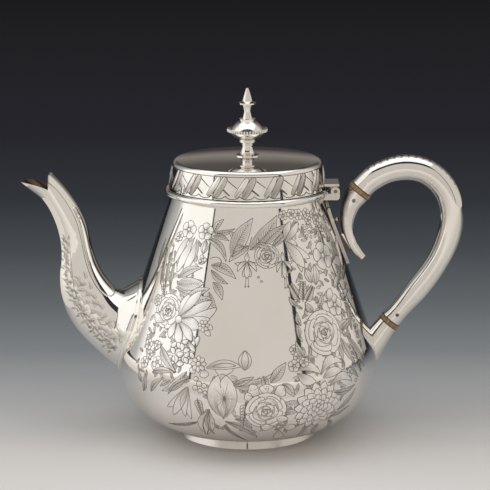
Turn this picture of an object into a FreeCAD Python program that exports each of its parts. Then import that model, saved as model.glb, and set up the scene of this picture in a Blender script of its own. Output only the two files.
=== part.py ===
"""Round silver teapot with a swan neck spout, a hinged lid, a turned finial and an insulated handle.

Millimetres, +Z up. The origin is the centre of the foot ring on the table, the spout points to -X
and the handle to +X. The hinge pin runs along Y.
"""
import FreeCAD
import Part
import math
import os

Vector = FreeCAD.Vector

# Pot: a cone that rounds out to the belly and under to the floor, in three soldered pieces
wall = 1.0
foot_height = 4.0
foot_reach = 4.4
foot_flare = 1.2
foot_width = 3.0
under_bend = 34.0
belly_radius = 64.4
shoulder_bend = 30.0
neck_radius = 37.4
mouth_height = 121.0

# Mouth rim, a half round moulding soldered on the neck
rim_height = 3.3
rim_overhang = 3.2

# Lid: side band, rounded shoulder and a nearly flat top
lid_gap = 0.3
lid_wall = 1.0
lid_setback = 2.0
lid_side_height = 11.0
lid_side_taper = 1.6
lid_shoulder = 2.4
lid_crown = 1.7
lid_crown_sag = 0.5
lid_seat_radius = 6.5
bezel_depth = 5.0
bezel_wall = 0.9
bezel_clearance = 0.6
bezel_ledge = 1.0

# Hinge at the back of the mouth
hinge_drop = 1.3
hinge_width = 14.0
knuckle_count = 5
knuckle_radius = 2.2
knuckle_clearance = 0.3
hinge_lug_depth = 4.3
hinge_lug_drop = 1.1
hinge_lug_round = 1.6
hinge_plate = 1.2
hinge_plate_overhang = 1.8
pin_radius = 0.9
pin_clearance = 0.05

# Finial, turned in four pieces on one stud; pairs are a radius and a height above the piece's base
stud_radius = 1.2
stud_clearance = 0.05
stud_reach = 3.7
finial_foot_radius = 5.8
finial_foot_edge = 0.5
finial_foot_hollow = (3.5, 2.1)
finial_foot_height = 8.3
finial_stem_radius = 2.8
finial_stem_height = 6.2
finial_stem_collar = (4.0, 7.4)
finial_bowl_radius = 9.8
finial_bowl_round = (7.6, 2.2)
finial_bowl_height = 5.3
finial_bowl_recess = 0.7
finial_dome_radius = 8.0
finial_dome_round = (6.0, 2.7)
finial_dome_height = 5.4
finial_collar_radius = 4.0
finial_collar_height = 1.1
finial_spire_height = 15.0
finial_spire_radius = 2.5
finial_spire_waist = (1.8, 3.7)
finial_disc_radius = 4.3
finial_disc_height = 7.2
finial_disc_edge = 0.7
finial_spike_swell = (1.95, 10.8)
finial_tip_radius = 0.5
nut_height = 2.6
nut_radius = 3.8

# Spout: a swan neck. Start and throat are a reach beyond the belly and a height above it,
# and the other points are a reach beyond the belly and a height above the mouth
spout_wall = 1.1
spout_start = (-17.4, 14.5)
spout_start_angle = 172.0
spout_start_size = (29.0, 23.0)
spout_throat = (5.6, 20.6)
spout_throat_angle = 148.0
spout_throat_size = (16.2, 13.6)
spout_neck = (20.0, -28.5)
spout_neck_angle = 94.0
spout_neck_size = (7.8, 7.8)
spout_bend = (31.1, 0.0)
spout_bend_angle = 129.0
spout_bend_size = (6.2, 6.5)
spout_end = (45.6, 12.9)
spout_end_angle = 140.0
spout_end_size = (6.9, 9.0)
spout_tip = (48.1, 6.0)
spout_lip_dip = (40.1, 5.3)
spout_notch = (33.1, 2.6)
spout_heel_height = 9.5
spout_collar_wall = 1.0
spout_collar_margin = 1.4
strainer_rise = 13.5
strainer_hole_radius = 1.6
strainer_pitch = 4.8
strainer_margin = 3.0
strainer_wall = 0.8
pour_hole_half_height = 12.0
pour_hole_half_width = 10.5

# Handle: a hollow tapering tube between two ivory insulators. The upper joint is a reach beyond
# the hinge pin and a height above the mouth, the top and outermost points are a reach beyond the
# belly and a height above the mouth, and the lower joint is a reach beyond the belly and a height above it
handle_wall = 1.1
handle_joint_radius = 5.8
handle_top_radius = 6.3
handle_low_radius = 5.1
upper_joint_offset = (12.5, 1.3)
upper_joint_angle = 51.0
handle_top = (14.1, 12.8)
handle_outermost = (36.6, -11.2)
lower_joint_offset = (6.6, 17.8)
lower_joint_angle = 231.0
insulator_wall = 2.9
insulator_proud = 0.25
tenon_length = 8.5
tenon_clearance = 0.1
tenon_shoulder = 1.4
rivet_radius = 0.9
rivet_setback = 5.5
rivet_proud = 0.15
rivet_clearance = 0.02

# Upper socket: a horn on a web that stands on the leaf plate, ending in a spur. Its points are
# a distance from the face of the leaf and a drop below the mouth, and so are the web's two drops
horn_waist = (5.6, 15.1)
horn_waist_angle = 269.0
horn_waist_radius = 3.3
horn_seat = (4.5, 23.2)
horn_seat_angle = 286.0
horn_seat_radius = 2.5
horn_tip = (7.6, 32.6)
horn_tip_angle = 313.0
horn_tip_radius = 1.8
horn_web_drops = (20.5, 29.0)
horn_web_width = 2.6
leaf_wall = 1.0
leaf_gap = 0.1
leaf_length = 33.3
leaf_half_width = 5.5
leaf_widest_drop = 10.7
leaf_low_bow = 0.7
leaf_high_bow = 1.6
bead_radius = 1.2
bead_sink = 0.15
bead_rise = 1.8

# Lower socket: a short flared tube; its root is a reach beyond the belly and a height above it
socket_root = (-4.4, 1.5)
socket_root_angle = 238.0
socket_root_radius = 6.8

# Sizes that follow from the ones above
belly_height = foot_height + under_bend
floor_radius = belly_radius - under_bend
foot_radius = floor_radius + foot_reach
rim_top = mouth_height + rim_height
rim_outer = neck_radius + rim_overhang
strainer_height = belly_height + strainer_rise
lid_base = rim_top + lid_gap
lid_base_radius = rim_outer - lid_setback
lid_side_top = lid_base + lid_side_height
lid_edge_height = lid_side_top + lid_shoulder
lid_seat = lid_edge_height + lid_crown
hinge_height = rim_top - hinge_drop
hinge_reach = rim_outer + knuckle_radius + knuckle_clearance
leaf_top = hinge_height - hinge_lug_depth - leaf_gap
bead_height = mouth_height - horn_waist[1] + bead_rise
upper_joint = (hinge_reach + upper_joint_offset[0], mouth_height + upper_joint_offset[1])
lower_joint = (belly_radius + lower_joint_offset[0], belly_height + lower_joint_offset[1])
finial_bowl_base = lid_seat + finial_foot_height
finial_dome_base = finial_bowl_base + finial_bowl_height - finial_bowl_recess
finial_spire_base = finial_dome_base + finial_dome_height
far = 4.0 * belly_radius

# How finely the drawn tubes follow their runs
loft_degree = 3
spout_steps = 3
handle_steps = 4
horn_steps = 3
socket_steps = 2


def flat(point):
    """A point of the side view, (x, z), as a vector in the XZ plane."""
    return Vector(point[0], 0.0, point[1])


def heading(angle):
    """The direction in the side view at an angle from +X towards +Z."""
    return Vector(math.cos(math.radians(angle)), 0.0, math.sin(math.radians(angle)))


def line(start, end):
    return Part.LineSegment(flat(start), flat(end)).toShape()


def arc(start, middle, end):
    return Part.Arc(flat(start), flat(middle), flat(end)).toShape()


def turned(edges):
    """A closed half outline in the XZ plane turned about the pot's axis."""
    face = Part.Face(Part.Wire(Part.__sortEdges__(edges)))
    return face.revolve(Vector(0, 0, 0), Vector(0, 0, 1), 360)


def turned_points(points):
    """A half outline with straight sides turned about the pot's axis."""
    corners = points + points[:1]
    return turned([line(a, b) for a, b in zip(corners, corners[1:])])


def rod(start, direction, radius, length):
    return Part.makeCylinder(radius, length, start, direction)


def crosswise_rod(centre, radius, half_length):
    """A round pin along Y through a point of the side view."""
    return rod(flat(centre) - Vector(0, half_length, 0), Vector(0, 1, 0), radius, 2 * half_length)


def prism(edges, half_width):
    """A closed outline in the XZ plane drawn out both ways along Y."""
    face = Part.Face(Part.Wire(Part.__sortEdges__(edges)))
    face.translate(Vector(0, -half_width, 0))
    return face.extrude(Vector(0, 2 * half_width, 0))


def side_box(low, high, half_width):
    """A box between two corners of the side view, drawn out both ways along Y."""
    corner = Vector(low[0], -half_width, low[1])
    return Part.makeBox(high[0] - low[0], 2 * half_width, high[1] - low[1], corner)


def bend(start, start_angle, end, end_angle):
    """A smooth curve in the side view that leaves and arrives at given angles, like an arc."""
    turn = math.radians(abs(end_angle - start_angle))
    chord = (flat(end) - flat(start)).Length
    reach = chord / 3.0
    if turn > 0.001:
        reach = chord * 2.0 / 3.0 * math.tan(turn / 4.0) / math.sin(turn / 2.0)
    curve = Part.BezierCurve()
    curve.setPoles([
        flat(start),
        flat(start) + heading(start_angle) * reach,
        flat(end) - heading(end_angle) * reach,
        flat(end),
    ])
    return curve


def oval(centre, direction, half_height, half_width):
    """An oval across a run of the side view: its height lies in the view, its width along Y."""
    up = Vector(0, 1, 0).cross(direction)
    ring = Part.Circle(Vector(0, 0, 0), Vector(0, 0, 1), 1.0).toShape()
    place = FreeCAD.Matrix(
        0.0, up.x * half_height, direction.x, centre.x,
        half_width, up.y * half_height, direction.y, centre.y,
        0.0, up.z * half_height, direction.z, centre.z,
        0.0, 0.0, 0.0, 1.0,
    )
    return Part.Wire(ring.transformGeometry(place))


def drawn_tube(anchors, steps, inset):
    """A solid drawn through ovals along a smooth run; inset makes the bore of the same run.

    An anchor is (point, angle, half height, half width).
    """
    ovals = []
    for first, second in zip(anchors, anchors[1:]):
        curve = bend(first[0], first[1], second[0], second[1])
        for step in range(steps + 1):
            if step == 0 and ovals:
                continue
            share = step / steps
            height = first[2] + (second[2] - first[2]) * share - inset
            width = first[3] + (second[3] - first[3]) * share - inset
            direction = curve.tangent(share)[0]
            ovals.append(oval(curve.value(share), direction, height, width))
    return Part.makeLoft(ovals, True, False, False, loft_degree)


def cone_lean():
    """The angle above the horizontal at which the cone runs into the belly's round."""
    across = neck_radius - (belly_radius - shoulder_bend)
    up = mouth_height - belly_height
    return math.atan2(up, across) - math.acos(shoulder_bend / math.hypot(across, up))


def pot_points(inset):
    """Named points of the pot's half outline, moved inwards by inset."""
    lean = cone_lean()
    half_lean = lean / 2.0
    eighth = math.sqrt(0.5)
    shoulder_centre = belly_radius - shoulder_bend
    shoulder = shoulder_bend - inset
    under = under_bend - inset
    return {
        "mouth": (neck_radius - inset / math.cos(lean), mouth_height),
        "cone_end": (shoulder_centre + shoulder * math.cos(lean), belly_height + shoulder * math.sin(lean)),
        "cone_round": (
            shoulder_centre + shoulder * math.cos(half_lean),
            belly_height + shoulder * math.sin(half_lean),
        ),
        "belly": (belly_radius - inset, belly_height),
        "under_round": (floor_radius + under * eighth, belly_height - under * eighth),
        "floor_edge": (floor_radius, belly_height - under),
    }


def upper_edges(points):
    """The outline from the mouth down the cone to the belly."""
    cone = line(points["mouth"], points["cone_end"])
    return [cone, arc(points["cone_end"], points["cone_round"], points["belly"])]


def lower_edges(points):
    """The outline from the belly under to the floor."""
    return [arc(points["belly"], points["under_round"], points["floor_edge"])]


def pot_solid(inset):
    """The pot filled up to its mouth, grown or shrunk by inset."""
    points = pot_points(inset)
    top = (0.0, mouth_height)
    floor = (0.0, points["floor_edge"][1])
    return turned(upper_edges(points) + lower_edges(points) + [
        line(points["floor_edge"], floor),
        line(floor, top),
        line(top, points["mouth"]),
    ])


def cone_radius(height, inset):
    """The radius of the cone at a height."""
    lean = cone_lean()
    return neck_radius + (mouth_height - height) * math.tan(lean) - inset / math.cos(lean)


def front_of_belly(pair):
    """A point on the spout's side from its reach beyond the belly and its height above it."""
    return (-belly_radius - pair[0], belly_height + pair[1])


def front_of_mouth(pair):
    """A point on the spout's side from its reach beyond the belly and its height above the mouth."""
    return (-belly_radius - pair[0], mouth_height + pair[1])


def spout_anchors():
    return [
        (front_of_belly(spout_start), spout_start_angle) + spout_start_size,
        (front_of_belly(spout_throat), spout_throat_angle) + spout_throat_size,
        (front_of_mouth(spout_neck), spout_neck_angle) + spout_neck_size,
        (front_of_mouth(spout_bend), spout_bend_angle) + spout_bend_size,
        (front_of_mouth(spout_end), spout_end_angle) + spout_end_size,
    ]


def above_the_lip():
    """What is cut off over the spout's mouth: an arc from the tip to a notch, and straight up to the heel."""
    tip = front_of_mouth(spout_tip)
    dip = front_of_mouth(spout_lip_dip)
    notch = front_of_mouth(spout_notch)
    heel = (notch[0], mouth_height + spout_heel_height)
    behind = (heel[0] + far, heel[1])
    right = (heel[0] + far, heel[1] + far)
    left = (tip[0], heel[1] + far)
    return prism([
        arc(tip, dip, notch),
        line(notch, heel),
        line(heel, behind),
        line(behind, right),
        line(right, left),
        line(left, tip),
    ], far)


def before_the_tip():
    """What is cut off in front of the spout's tip and above it."""
    tip = front_of_mouth(spout_tip)
    return side_box((tip[0] - far, tip[1]), (tip[0], tip[1] + far), far)


def spout_channel():
    """The bore of the spout, which also runs through the collar."""
    return drawn_tube(spout_anchors(), spout_steps, spout_wall)


def spout():
    """The swan neck, open from its collar to its lip, before it is parted at the neck."""
    skin = drawn_tube(spout_anchors(), spout_steps, 0.0)
    shell = skin.cut(spout_channel())
    shell = shell.cut(pot_solid(-spout_collar_wall))
    shell = shell.cut(above_the_lip())
    return shell.cut(before_the_tip())


def below_the_neck():
    """Everything on the pot's side of the seam across the spout's neck."""
    axis = heading(spout_neck_angle)
    seam = flat(front_of_mouth(spout_neck))
    return rod(seam - axis * far, axis, far, far)


def spout_collar():
    """The leaf of sheet between the spout's root and the pot."""
    sheet = pot_solid(-spout_collar_wall).cut(pot_solid(0.0))
    root = spout_anchors()[:2]
    patch = sheet.common(drawn_tube(root, spout_steps, -spout_collar_margin))
    return patch.cut(spout_channel())


def ellipse_plug(half_height, half_width):
    """An oval plug along -X at the strainer's height."""
    start = Vector(-far, 0, strainer_height)
    ring = oval(start, Vector(1, 0, 0), half_height, half_width)
    return Part.Face(ring).extrude(Vector(far, 0, 0))


def strainer_holes():
    """Rows of round holes, every other row moved by half a pitch, inside the pour hole."""
    holes = []
    row_height = strainer_pitch * math.sqrt(0.75)
    rows = int(pour_hole_half_height / row_height)
    columns = int(pour_hole_half_width / strainer_pitch) + 1
    for row in range(-rows, rows + 1):
        shift = (row % 2) * strainer_pitch / 2.0
        for column in range(-columns, columns + 1):
            across = column * strainer_pitch + shift
            up = row * row_height
            edge_height = pour_hole_half_height - strainer_hole_radius
            edge_width = pour_hole_half_width - strainer_hole_radius
            if math.hypot(across / edge_width, up / edge_height) <= 1.0:
                start = Vector(-far, across, strainer_height + up)
                holes.append(rod(start, Vector(1, 0, 0), strainer_hole_radius, far))
    return holes


def strainer_plate():
    """A pierced plate soldered inside the pot over the pour hole."""
    sheet = pot_solid(wall).cut(pot_solid(wall + strainer_wall))
    half_height = pour_hole_half_height + strainer_margin
    half_width = pour_hole_half_width + strainer_margin
    plate = sheet.common(ellipse_plug(half_height, half_width))
    return plate.cut(Part.makeCompound(strainer_holes()))


def body_upper():
    """The cone and its shoulder, raised in one, with the pour hole."""
    outer = pot_points(0.0)
    inner = pot_points(wall)
    ends = [line(outer["mouth"], inner["mouth"]), line(outer["belly"], inner["belly"])]
    shell = turned(upper_edges(outer) + upper_edges(inner) + ends)
    return shell.cut(ellipse_plug(pour_hole_half_height, pour_hole_half_width))


def body_lower():
    """The bowl under the belly, open in the middle for the floor."""
    outer = pot_points(0.0)
    inner = pot_points(wall)
    ends = [line(outer["belly"], inner["belly"]), line(outer["floor_edge"], inner["floor_edge"])]
    return turned(lower_edges(outer) + lower_edges(inner) + ends)


def body_floor():
    """The disc that closes the bowl."""
    return rod(Vector(0, 0, foot_height), Vector(0, 0, 1), floor_radius, wall)


def foot_ring():
    """A low flared band under the floor."""
    band = turned_points([
        (foot_radius - foot_width, 0.0),
        (foot_radius, 0.0),
        (foot_radius - foot_flare, foot_height),
        (foot_radius - foot_width - foot_flare, foot_height),
    ])
    return band.cut(pot_solid(0.0))


def mouth_bore():
    """The inner radius of the mouth."""
    return neck_radius - wall / math.cos(cone_lean())


def mouth_rim():
    """A half round moulding on the neck, which the lid's bezel drops into."""
    bore = mouth_bore()
    half = rim_height / 2.0
    land = rim_outer - half
    return turned([
        line((bore, mouth_height), (land, mouth_height)),
        arc((land, mouth_height), (rim_outer, mouth_height + half), (land, rim_top)),
        line((land, rim_top), (bore, rim_top)),
        line((bore, rim_top), (bore, mouth_height)),
    ])


def lid_outline(inset):
    """The lid's half outline, moved inwards by inset, from its lower edge to the middle of its top."""
    side_top_radius = lid_base_radius - lid_side_taper - inset
    edge_radius = lid_base_radius - lid_side_taper - lid_shoulder
    edge_height = lid_edge_height - inset
    round_reach = (lid_shoulder - inset) * math.sqrt(0.5)
    seat = lid_seat - inset
    base = (lid_base_radius - inset, lid_base)
    side_top = (side_top_radius, lid_side_top)
    round_middle = (edge_radius + round_reach, lid_side_top + round_reach)
    edge = (edge_radius, edge_height)
    crown_middle = ((edge_radius + lid_seat_radius) / 2.0, seat - lid_crown_sag)
    seat_edge = (lid_seat_radius, seat)
    middle = (0.0, seat)
    edges = [
        line(base, side_top),
        arc(side_top, round_middle, edge),
        arc(edge, crown_middle, seat_edge),
        line(seat_edge, middle),
    ]
    return edges, base, middle


def lid_solid(inset):
    edges, base, middle = lid_outline(inset)
    centre = (0.0, lid_base)
    return turned(edges + [line(middle, centre), line(centre, base)])


def stud_hole(radius):
    """The hole for the finial's stud, through everything it passes."""
    return rod(Vector(0, 0, 0), Vector(0, 0, 1), radius, stud_top())


def stud_top():
    return finial_spire_base + stud_reach


def lid_shell():
    """The lid: one raised sheet with a hole for the finial's stud."""
    outer, outer_base, outer_middle = lid_outline(0.0)
    inner, inner_base, inner_middle = lid_outline(lid_wall)
    shell = turned(outer + inner + [line(outer_base, inner_base), line(outer_middle, inner_middle)])
    return shell.cut(stud_hole(stud_radius + stud_clearance))


def lid_bezel():
    """The ring under the lid that drops into the mouth."""
    outer = mouth_bore() - bezel_clearance
    inner = outer - bezel_wall
    ledge_base = lid_base + bezel_ledge
    ledge_top = ledge_base + bezel_ledge
    low = lid_base - bezel_depth
    ring = turned_points([
        (inner, low),
        (outer, low),
        (outer, ledge_base),
        (lid_base_radius, ledge_base),
        (lid_base_radius, ledge_top),
        (inner, ledge_top),
    ])
    throat = rod(Vector(0, 0, 0), Vector(0, 0, 1), outer, lid_base)
    return ring.common(lid_solid(lid_wall).fuse(throat))


def knuckle(index, radius, gap):
    """One round knuckle of the hinge, shortened by a gap at each end."""
    length = hinge_width / knuckle_count
    start = -hinge_width / 2.0 + index * length
    low = Vector(hinge_reach, start + gap, hinge_height)
    return rod(low, Vector(0, 1, 0), radius, length - 2 * gap)


def knuckle_web(index):
    """The block between a knuckle of the lid and the plate above it."""
    length = hinge_width / knuckle_count
    start = -hinge_width / 2.0 + index * length
    corner = Vector(hinge_reach - knuckle_radius, start + knuckle_clearance, hinge_height)
    return Part.makeBox(knuckle_radius, length - 2 * knuckle_clearance, plate_base() - hinge_height, corner)


def plate_base():
    return hinge_height + knuckle_radius + knuckle_clearance


def hinge_bore():
    return crosswise_rod((hinge_reach, hinge_height), pin_radius + pin_clearance, hinge_width)


def hinge_lug_outline(low, high):
    """A box between two corners whose lower outer edge is rounded."""
    rest = hinge_lug_round * (1.0 - math.sqrt(0.5))
    bottom = (high[0] - hinge_lug_round, low[1])
    middle = (high[0] - rest, low[1] + rest)
    side = (high[0], low[1] + hinge_lug_round)
    inner = (low[0], high[1])
    return [
        line(low, bottom),
        arc(bottom, middle, side),
        line(side, high),
        line(high, inner),
        line(inner, low),
    ]


def hinge_body_leaf():
    """The fixed half of the hinge: a lug on the neck with every other knuckle."""
    low = (neck_radius, hinge_height - hinge_lug_depth)
    high = (hinge_reach + knuckle_radius, hinge_height - hinge_lug_drop)
    leaf = prism(hinge_lug_outline(low, high), hinge_width / 2.0)
    for index in range(1, knuckle_count, 2):
        leaf = leaf.cut(knuckle(index, knuckle_radius + knuckle_clearance, 0.0))
    for index in range(0, knuckle_count, 2):
        leaf = leaf.fuse(knuckle(index, knuckle_radius, 0.0))
    leaf = leaf.cut(pot_solid(0.0)).cut(mouth_rim())
    return leaf.cut(hinge_bore()).removeSplitter()


def hinge_lid_leaf():
    """The moving half of the hinge: a plate on the lid's side with the knuckles between."""
    low = (0.0, plate_base())
    high = (hinge_reach + hinge_plate_overhang, plate_base() + hinge_plate)
    leaf = side_box(low, high, hinge_width / 2.0)
    for index in range(1, knuckle_count, 2):
        leaf = leaf.fuse(knuckle(index, knuckle_radius, knuckle_clearance)).fuse(knuckle_web(index))
    leaf = leaf.cut(lid_solid(0.0))
    return leaf.cut(hinge_bore()).removeSplitter()


def hinge_pin():
    return crosswise_rod((hinge_reach, hinge_height), pin_radius, hinge_width / 2.0)


def finial_point(base, pair):
    """A point of a turned piece from its radius and its height above the base."""
    return (pair[0], base + pair[1])


def finial_foot():
    """Flange, stem and collar of the finial, standing on the lid."""
    base = lid_seat
    top = finial_bowl_base
    flange = (finial_foot_radius, base + finial_foot_edge)
    hollow = finial_point(base, finial_foot_hollow)
    stem = (finial_stem_radius, base + finial_stem_height)
    collar = finial_point(base, finial_stem_collar)
    shape = turned([
        line((0.0, base), (finial_foot_radius, base)),
        line((finial_foot_radius, base), flange),
        arc(flange, hollow, stem),
        arc(stem, collar, (finial_stem_radius, top)),
        line((finial_stem_radius, top), (0.0, top)),
        line((0.0, top), (0.0, base)),
    ])
    return shape.cut(stud_hole(stud_radius + stud_clearance))


def finial_bowl():
    """The wide bowl with a thin upturned lip."""
    base = finial_bowl_base
    lip = (finial_bowl_radius, base + finial_bowl_height)
    belly = finial_point(base, finial_bowl_round)
    floor = finial_dome_base
    shape = turned([
        line((0.0, base), (finial_stem_radius, base)),
        arc((finial_stem_radius, base), belly, lip),
        line(lip, (finial_dome_radius, floor)),
        line((finial_dome_radius, floor), (0.0, floor)),
        line((0.0, floor), (0.0, base)),
    ])
    return shape.cut(stud_hole(stud_radius + stud_clearance))


def finial_dome():
    """The domed cover of the bowl, drawn in to a collar."""
    base = finial_dome_base
    top = finial_spire_base
    dome = finial_point(base, finial_dome_round)
    collar = (finial_collar_radius, top - finial_collar_height)
    shape = turned([
        line((0.0, base), (finial_dome_radius, base)),
        arc((finial_dome_radius, base), dome, collar),
        line(collar, (finial_collar_radius, top)),
        line((finial_collar_radius, top), (0.0, top)),
        line((0.0, top), (0.0, base)),
    ])
    return shape.cut(stud_hole(stud_radius + stud_clearance))


def finial_spire():
    """The upper stem, its thin disc and the pointed tip."""
    base = finial_spire_base
    top = base + finial_spire_height
    disc = base + finial_disc_height
    edge_top = disc + finial_disc_edge
    disc_top = edge_top + finial_disc_edge
    stem = finial_spire_radius
    waist = finial_point(base, finial_spire_waist)
    swell = finial_point(base, finial_spike_swell)
    shape = turned([
        line((0.0, base), (stem, base)),
        arc((stem, base), waist, (stem, disc)),
        line((stem, disc), (finial_disc_radius, disc)),
        line((finial_disc_radius, disc), (finial_disc_radius, edge_top)),
        line((finial_disc_radius, edge_top), (stem, disc_top)),
        arc((stem, disc_top), swell, (finial_tip_radius, top)),
        line((finial_tip_radius, top), (0.0, top)),
        line((0.0, top), (0.0, base)),
    ])
    return shape.cut(stud_hole(stud_radius + stud_clearance))


def finial_stud():
    """The threaded rod that holds the finial's pieces to the lid."""
    low = lid_seat - lid_wall - nut_height
    return rod(Vector(0, 0, low), Vector(0, 0, 1), stud_radius, stud_top() - low)


def finial_nut():
    """A hexagon nut under the lid's top."""
    low = Vector(0, 0, lid_seat - lid_wall - nut_height)
    corners = [low + Vector(nut_radius * math.cos(turn), nut_radius * math.sin(turn), 0)
               for turn in [math.radians(60 * side) for side in range(7)]]
    nut = Part.Face(Part.makePolygon(corners)).extrude(Vector(0, 0, nut_height))
    return nut.cut(stud_hole(stud_radius + stud_clearance))


def along(point, angle, distance):
    """The point of the side view at a distance from another in a direction."""
    moved = flat(point) + heading(angle) * distance
    return (moved.x, moved.z)


def back_of_belly(pair):
    """A point on the handle's side from its reach beyond the belly and its height above it."""
    return (belly_radius + pair[0], belly_height + pair[1])


def back_of_mouth(pair):
    """A point on the handle's side from its reach beyond the belly and its height above the mouth."""
    return (belly_radius + pair[0], mouth_height + pair[1])


def handle_anchors():
    start = along(upper_joint, upper_joint_angle, insulator_wall / 2.0)
    end = along(lower_joint, lower_joint_angle, -insulator_wall / 2.0)
    top = handle_top_radius
    low = handle_low_radius
    third = (top - low) / 3.0
    return [
        (start, upper_joint_angle, handle_joint_radius, handle_joint_radius),
        (back_of_mouth(handle_top), 0.0, top, top),
        (back_of_mouth(handle_outermost), -90.0, top - third, top - third),
        (end, lower_joint_angle - 360.0, low, low),
    ]


def tenon_radius(tube_radius):
    return tube_radius - handle_wall - tenon_shoulder


def rivet_spots():
    """Where the four rivets cross the joints: joint, angle, distance along it and tube radius."""
    return {
        "upper_handle_pin": (upper_joint, upper_joint_angle, rivet_setback, handle_joint_radius),
        "upper_socket_pin": (upper_joint, upper_joint_angle, -rivet_setback, handle_joint_radius),
        "lower_handle_pin": (lower_joint, lower_joint_angle, -rivet_setback, handle_low_radius),
        "lower_socket_pin": (lower_joint, lower_joint_angle, rivet_setback, handle_low_radius),
    }


def rivet(name, extra):
    """A rivet along Y, or its hole when extra is the clearance."""
    joint, angle, distance, tube = rivet_spots()[name]
    centre = along(joint, angle, distance)
    return crosswise_rod(centre, rivet_radius + extra, tube + rivet_proud)


def rivet_hole(name):
    return rivet(name, rivet_clearance)


def handle():
    """The hollow handle, open at both ends for the insulators' tenons."""
    tube = drawn_tube(handle_anchors(), handle_steps, 0.0)
    tube = tube.cut(drawn_tube(handle_anchors(), handle_steps, handle_wall))
    return tube.cut(rivet_hole("upper_handle_pin")).cut(rivet_hole("lower_handle_pin"))


def insulator(joint, angle, tube_radius, rivets):
    """An ivory disc between handle and socket, with a round tenon into each."""
    axis = heading(angle)
    centre = flat(joint)
    disc = rod(centre - axis * (insulator_wall / 2.0), axis, tube_radius + insulator_proud, insulator_wall)
    tenon = rod(centre - axis * tenon_length, axis, tenon_radius(tube_radius), 2 * tenon_length)
    piece = disc.fuse(tenon)
    for name in rivets:
        piece = piece.cut(rivet_hole(name))
    return piece


def socket_bore(joint, angle, tube_radius):
    """The hole for the tenon in a socket; angle points out of the socket's mouth."""
    axis = heading(angle)
    depth = tenon_length + tenon_clearance
    radius = tenon_radius(tube_radius) + tenon_clearance
    return rod(flat(joint) - axis * depth, axis, radius, depth)


def off_the_leaf(pair):
    """A point of the horn from its distance to the face of the leaf and its drop below the mouth."""
    height = mouth_height - pair[1]
    return (cone_radius(height, -leaf_wall) + pair[0], height)


def horn_web():
    """The short web that carries the horn on the leaf plate."""
    high, low = horn_web_drops
    seat = off_the_leaf(horn_seat)
    return side_box((0.0, mouth_height - low), (seat[0], mouth_height - high), horn_web_width / 2.0)


def upper_socket():
    """The horn: a socket for the handle that bends down on to the leaf plate and ends in a spur."""
    mouth = along(upper_joint, upper_joint_angle, -insulator_wall / 2.0)
    anchors = [
        (mouth, upper_joint_angle + 180.0, handle_joint_radius, handle_joint_radius),
        (off_the_leaf(horn_waist), horn_waist_angle, horn_waist_radius, horn_waist_radius),
        (off_the_leaf(horn_seat), horn_seat_angle, horn_seat_radius, horn_seat_radius),
        (off_the_leaf(horn_tip), horn_tip_angle, horn_tip_radius, horn_tip_radius),
    ]
    horn = drawn_tube(anchors, horn_steps, 0.0)
    horn = horn.fuse(horn_web())
    horn = horn.cut(pot_solid(-leaf_wall))
    horn = horn.cut(socket_bore(upper_joint, upper_joint_angle, handle_joint_radius))
    return horn.cut(rivet_hole("upper_socket_pin"))


def leaf_edge(start, end, bow):
    """An arc of the leaf's outline, seen from the handle; a positive bow is to the right of its run."""
    run = end - start
    right = Vector(0, run.z, -run.y).normalize()
    return Part.Arc(start, (start + end) * 0.5 + right * bow, end).toShape()


def leaf_side(side):
    """One side of the leaf's outline; side is 1 or -1."""
    low = Vector(0, 0, leaf_top - leaf_length)
    widest = Vector(0, side * leaf_half_width, leaf_top - leaf_widest_drop)
    high = Vector(0, 0, leaf_top)
    return [leaf_edge(low, widest, side * leaf_low_bow), leaf_edge(widest, high, side * leaf_high_bow)]


def leaf_plate():
    """A long pointed leaf of sheet, bent to the cone under the hinge."""
    sheet = pot_solid(-leaf_wall).cut(pot_solid(0.0))
    outline = Part.Face(Part.Wire(Part.__sortEdges__(leaf_side(1) + leaf_side(-1))))
    plate = sheet.common(outline.extrude(Vector(far, 0, 0)))
    return plate.cut(hinge_lug_space())


def hinge_lug_space():
    """The space of the hinge's lug, which the leaf plate stops under."""
    low = (0.0, hinge_height - hinge_lug_depth)
    return side_box(low, (far, rim_top), hinge_width / 2.0)


def leaf_bead():
    """A small ball soldered on the leaf plate."""
    seat = cone_radius(bead_height, -leaf_wall)
    ball = Part.makeSphere(bead_radius, flat((seat + bead_radius - bead_sink, bead_height)))
    return ball.cut(pot_solid(-leaf_wall))


def lower_socket():
    """A short flared tube from the belly to the lower insulator."""
    mouth = along(lower_joint, lower_joint_angle, insulator_wall / 2.0)
    anchors = [
        (mouth, lower_joint_angle, handle_low_radius, handle_low_radius),
        (back_of_belly(socket_root), socket_root_angle, socket_root_radius, socket_root_radius),
    ]
    socket = drawn_tube(anchors, socket_steps, 0.0)
    socket = socket.cut(pot_solid(0.0))
    socket = socket.cut(socket_bore(lower_joint, lower_joint_angle + 180.0, handle_low_radius))
    return socket.cut(rivet_hole("lower_socket_pin"))


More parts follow.
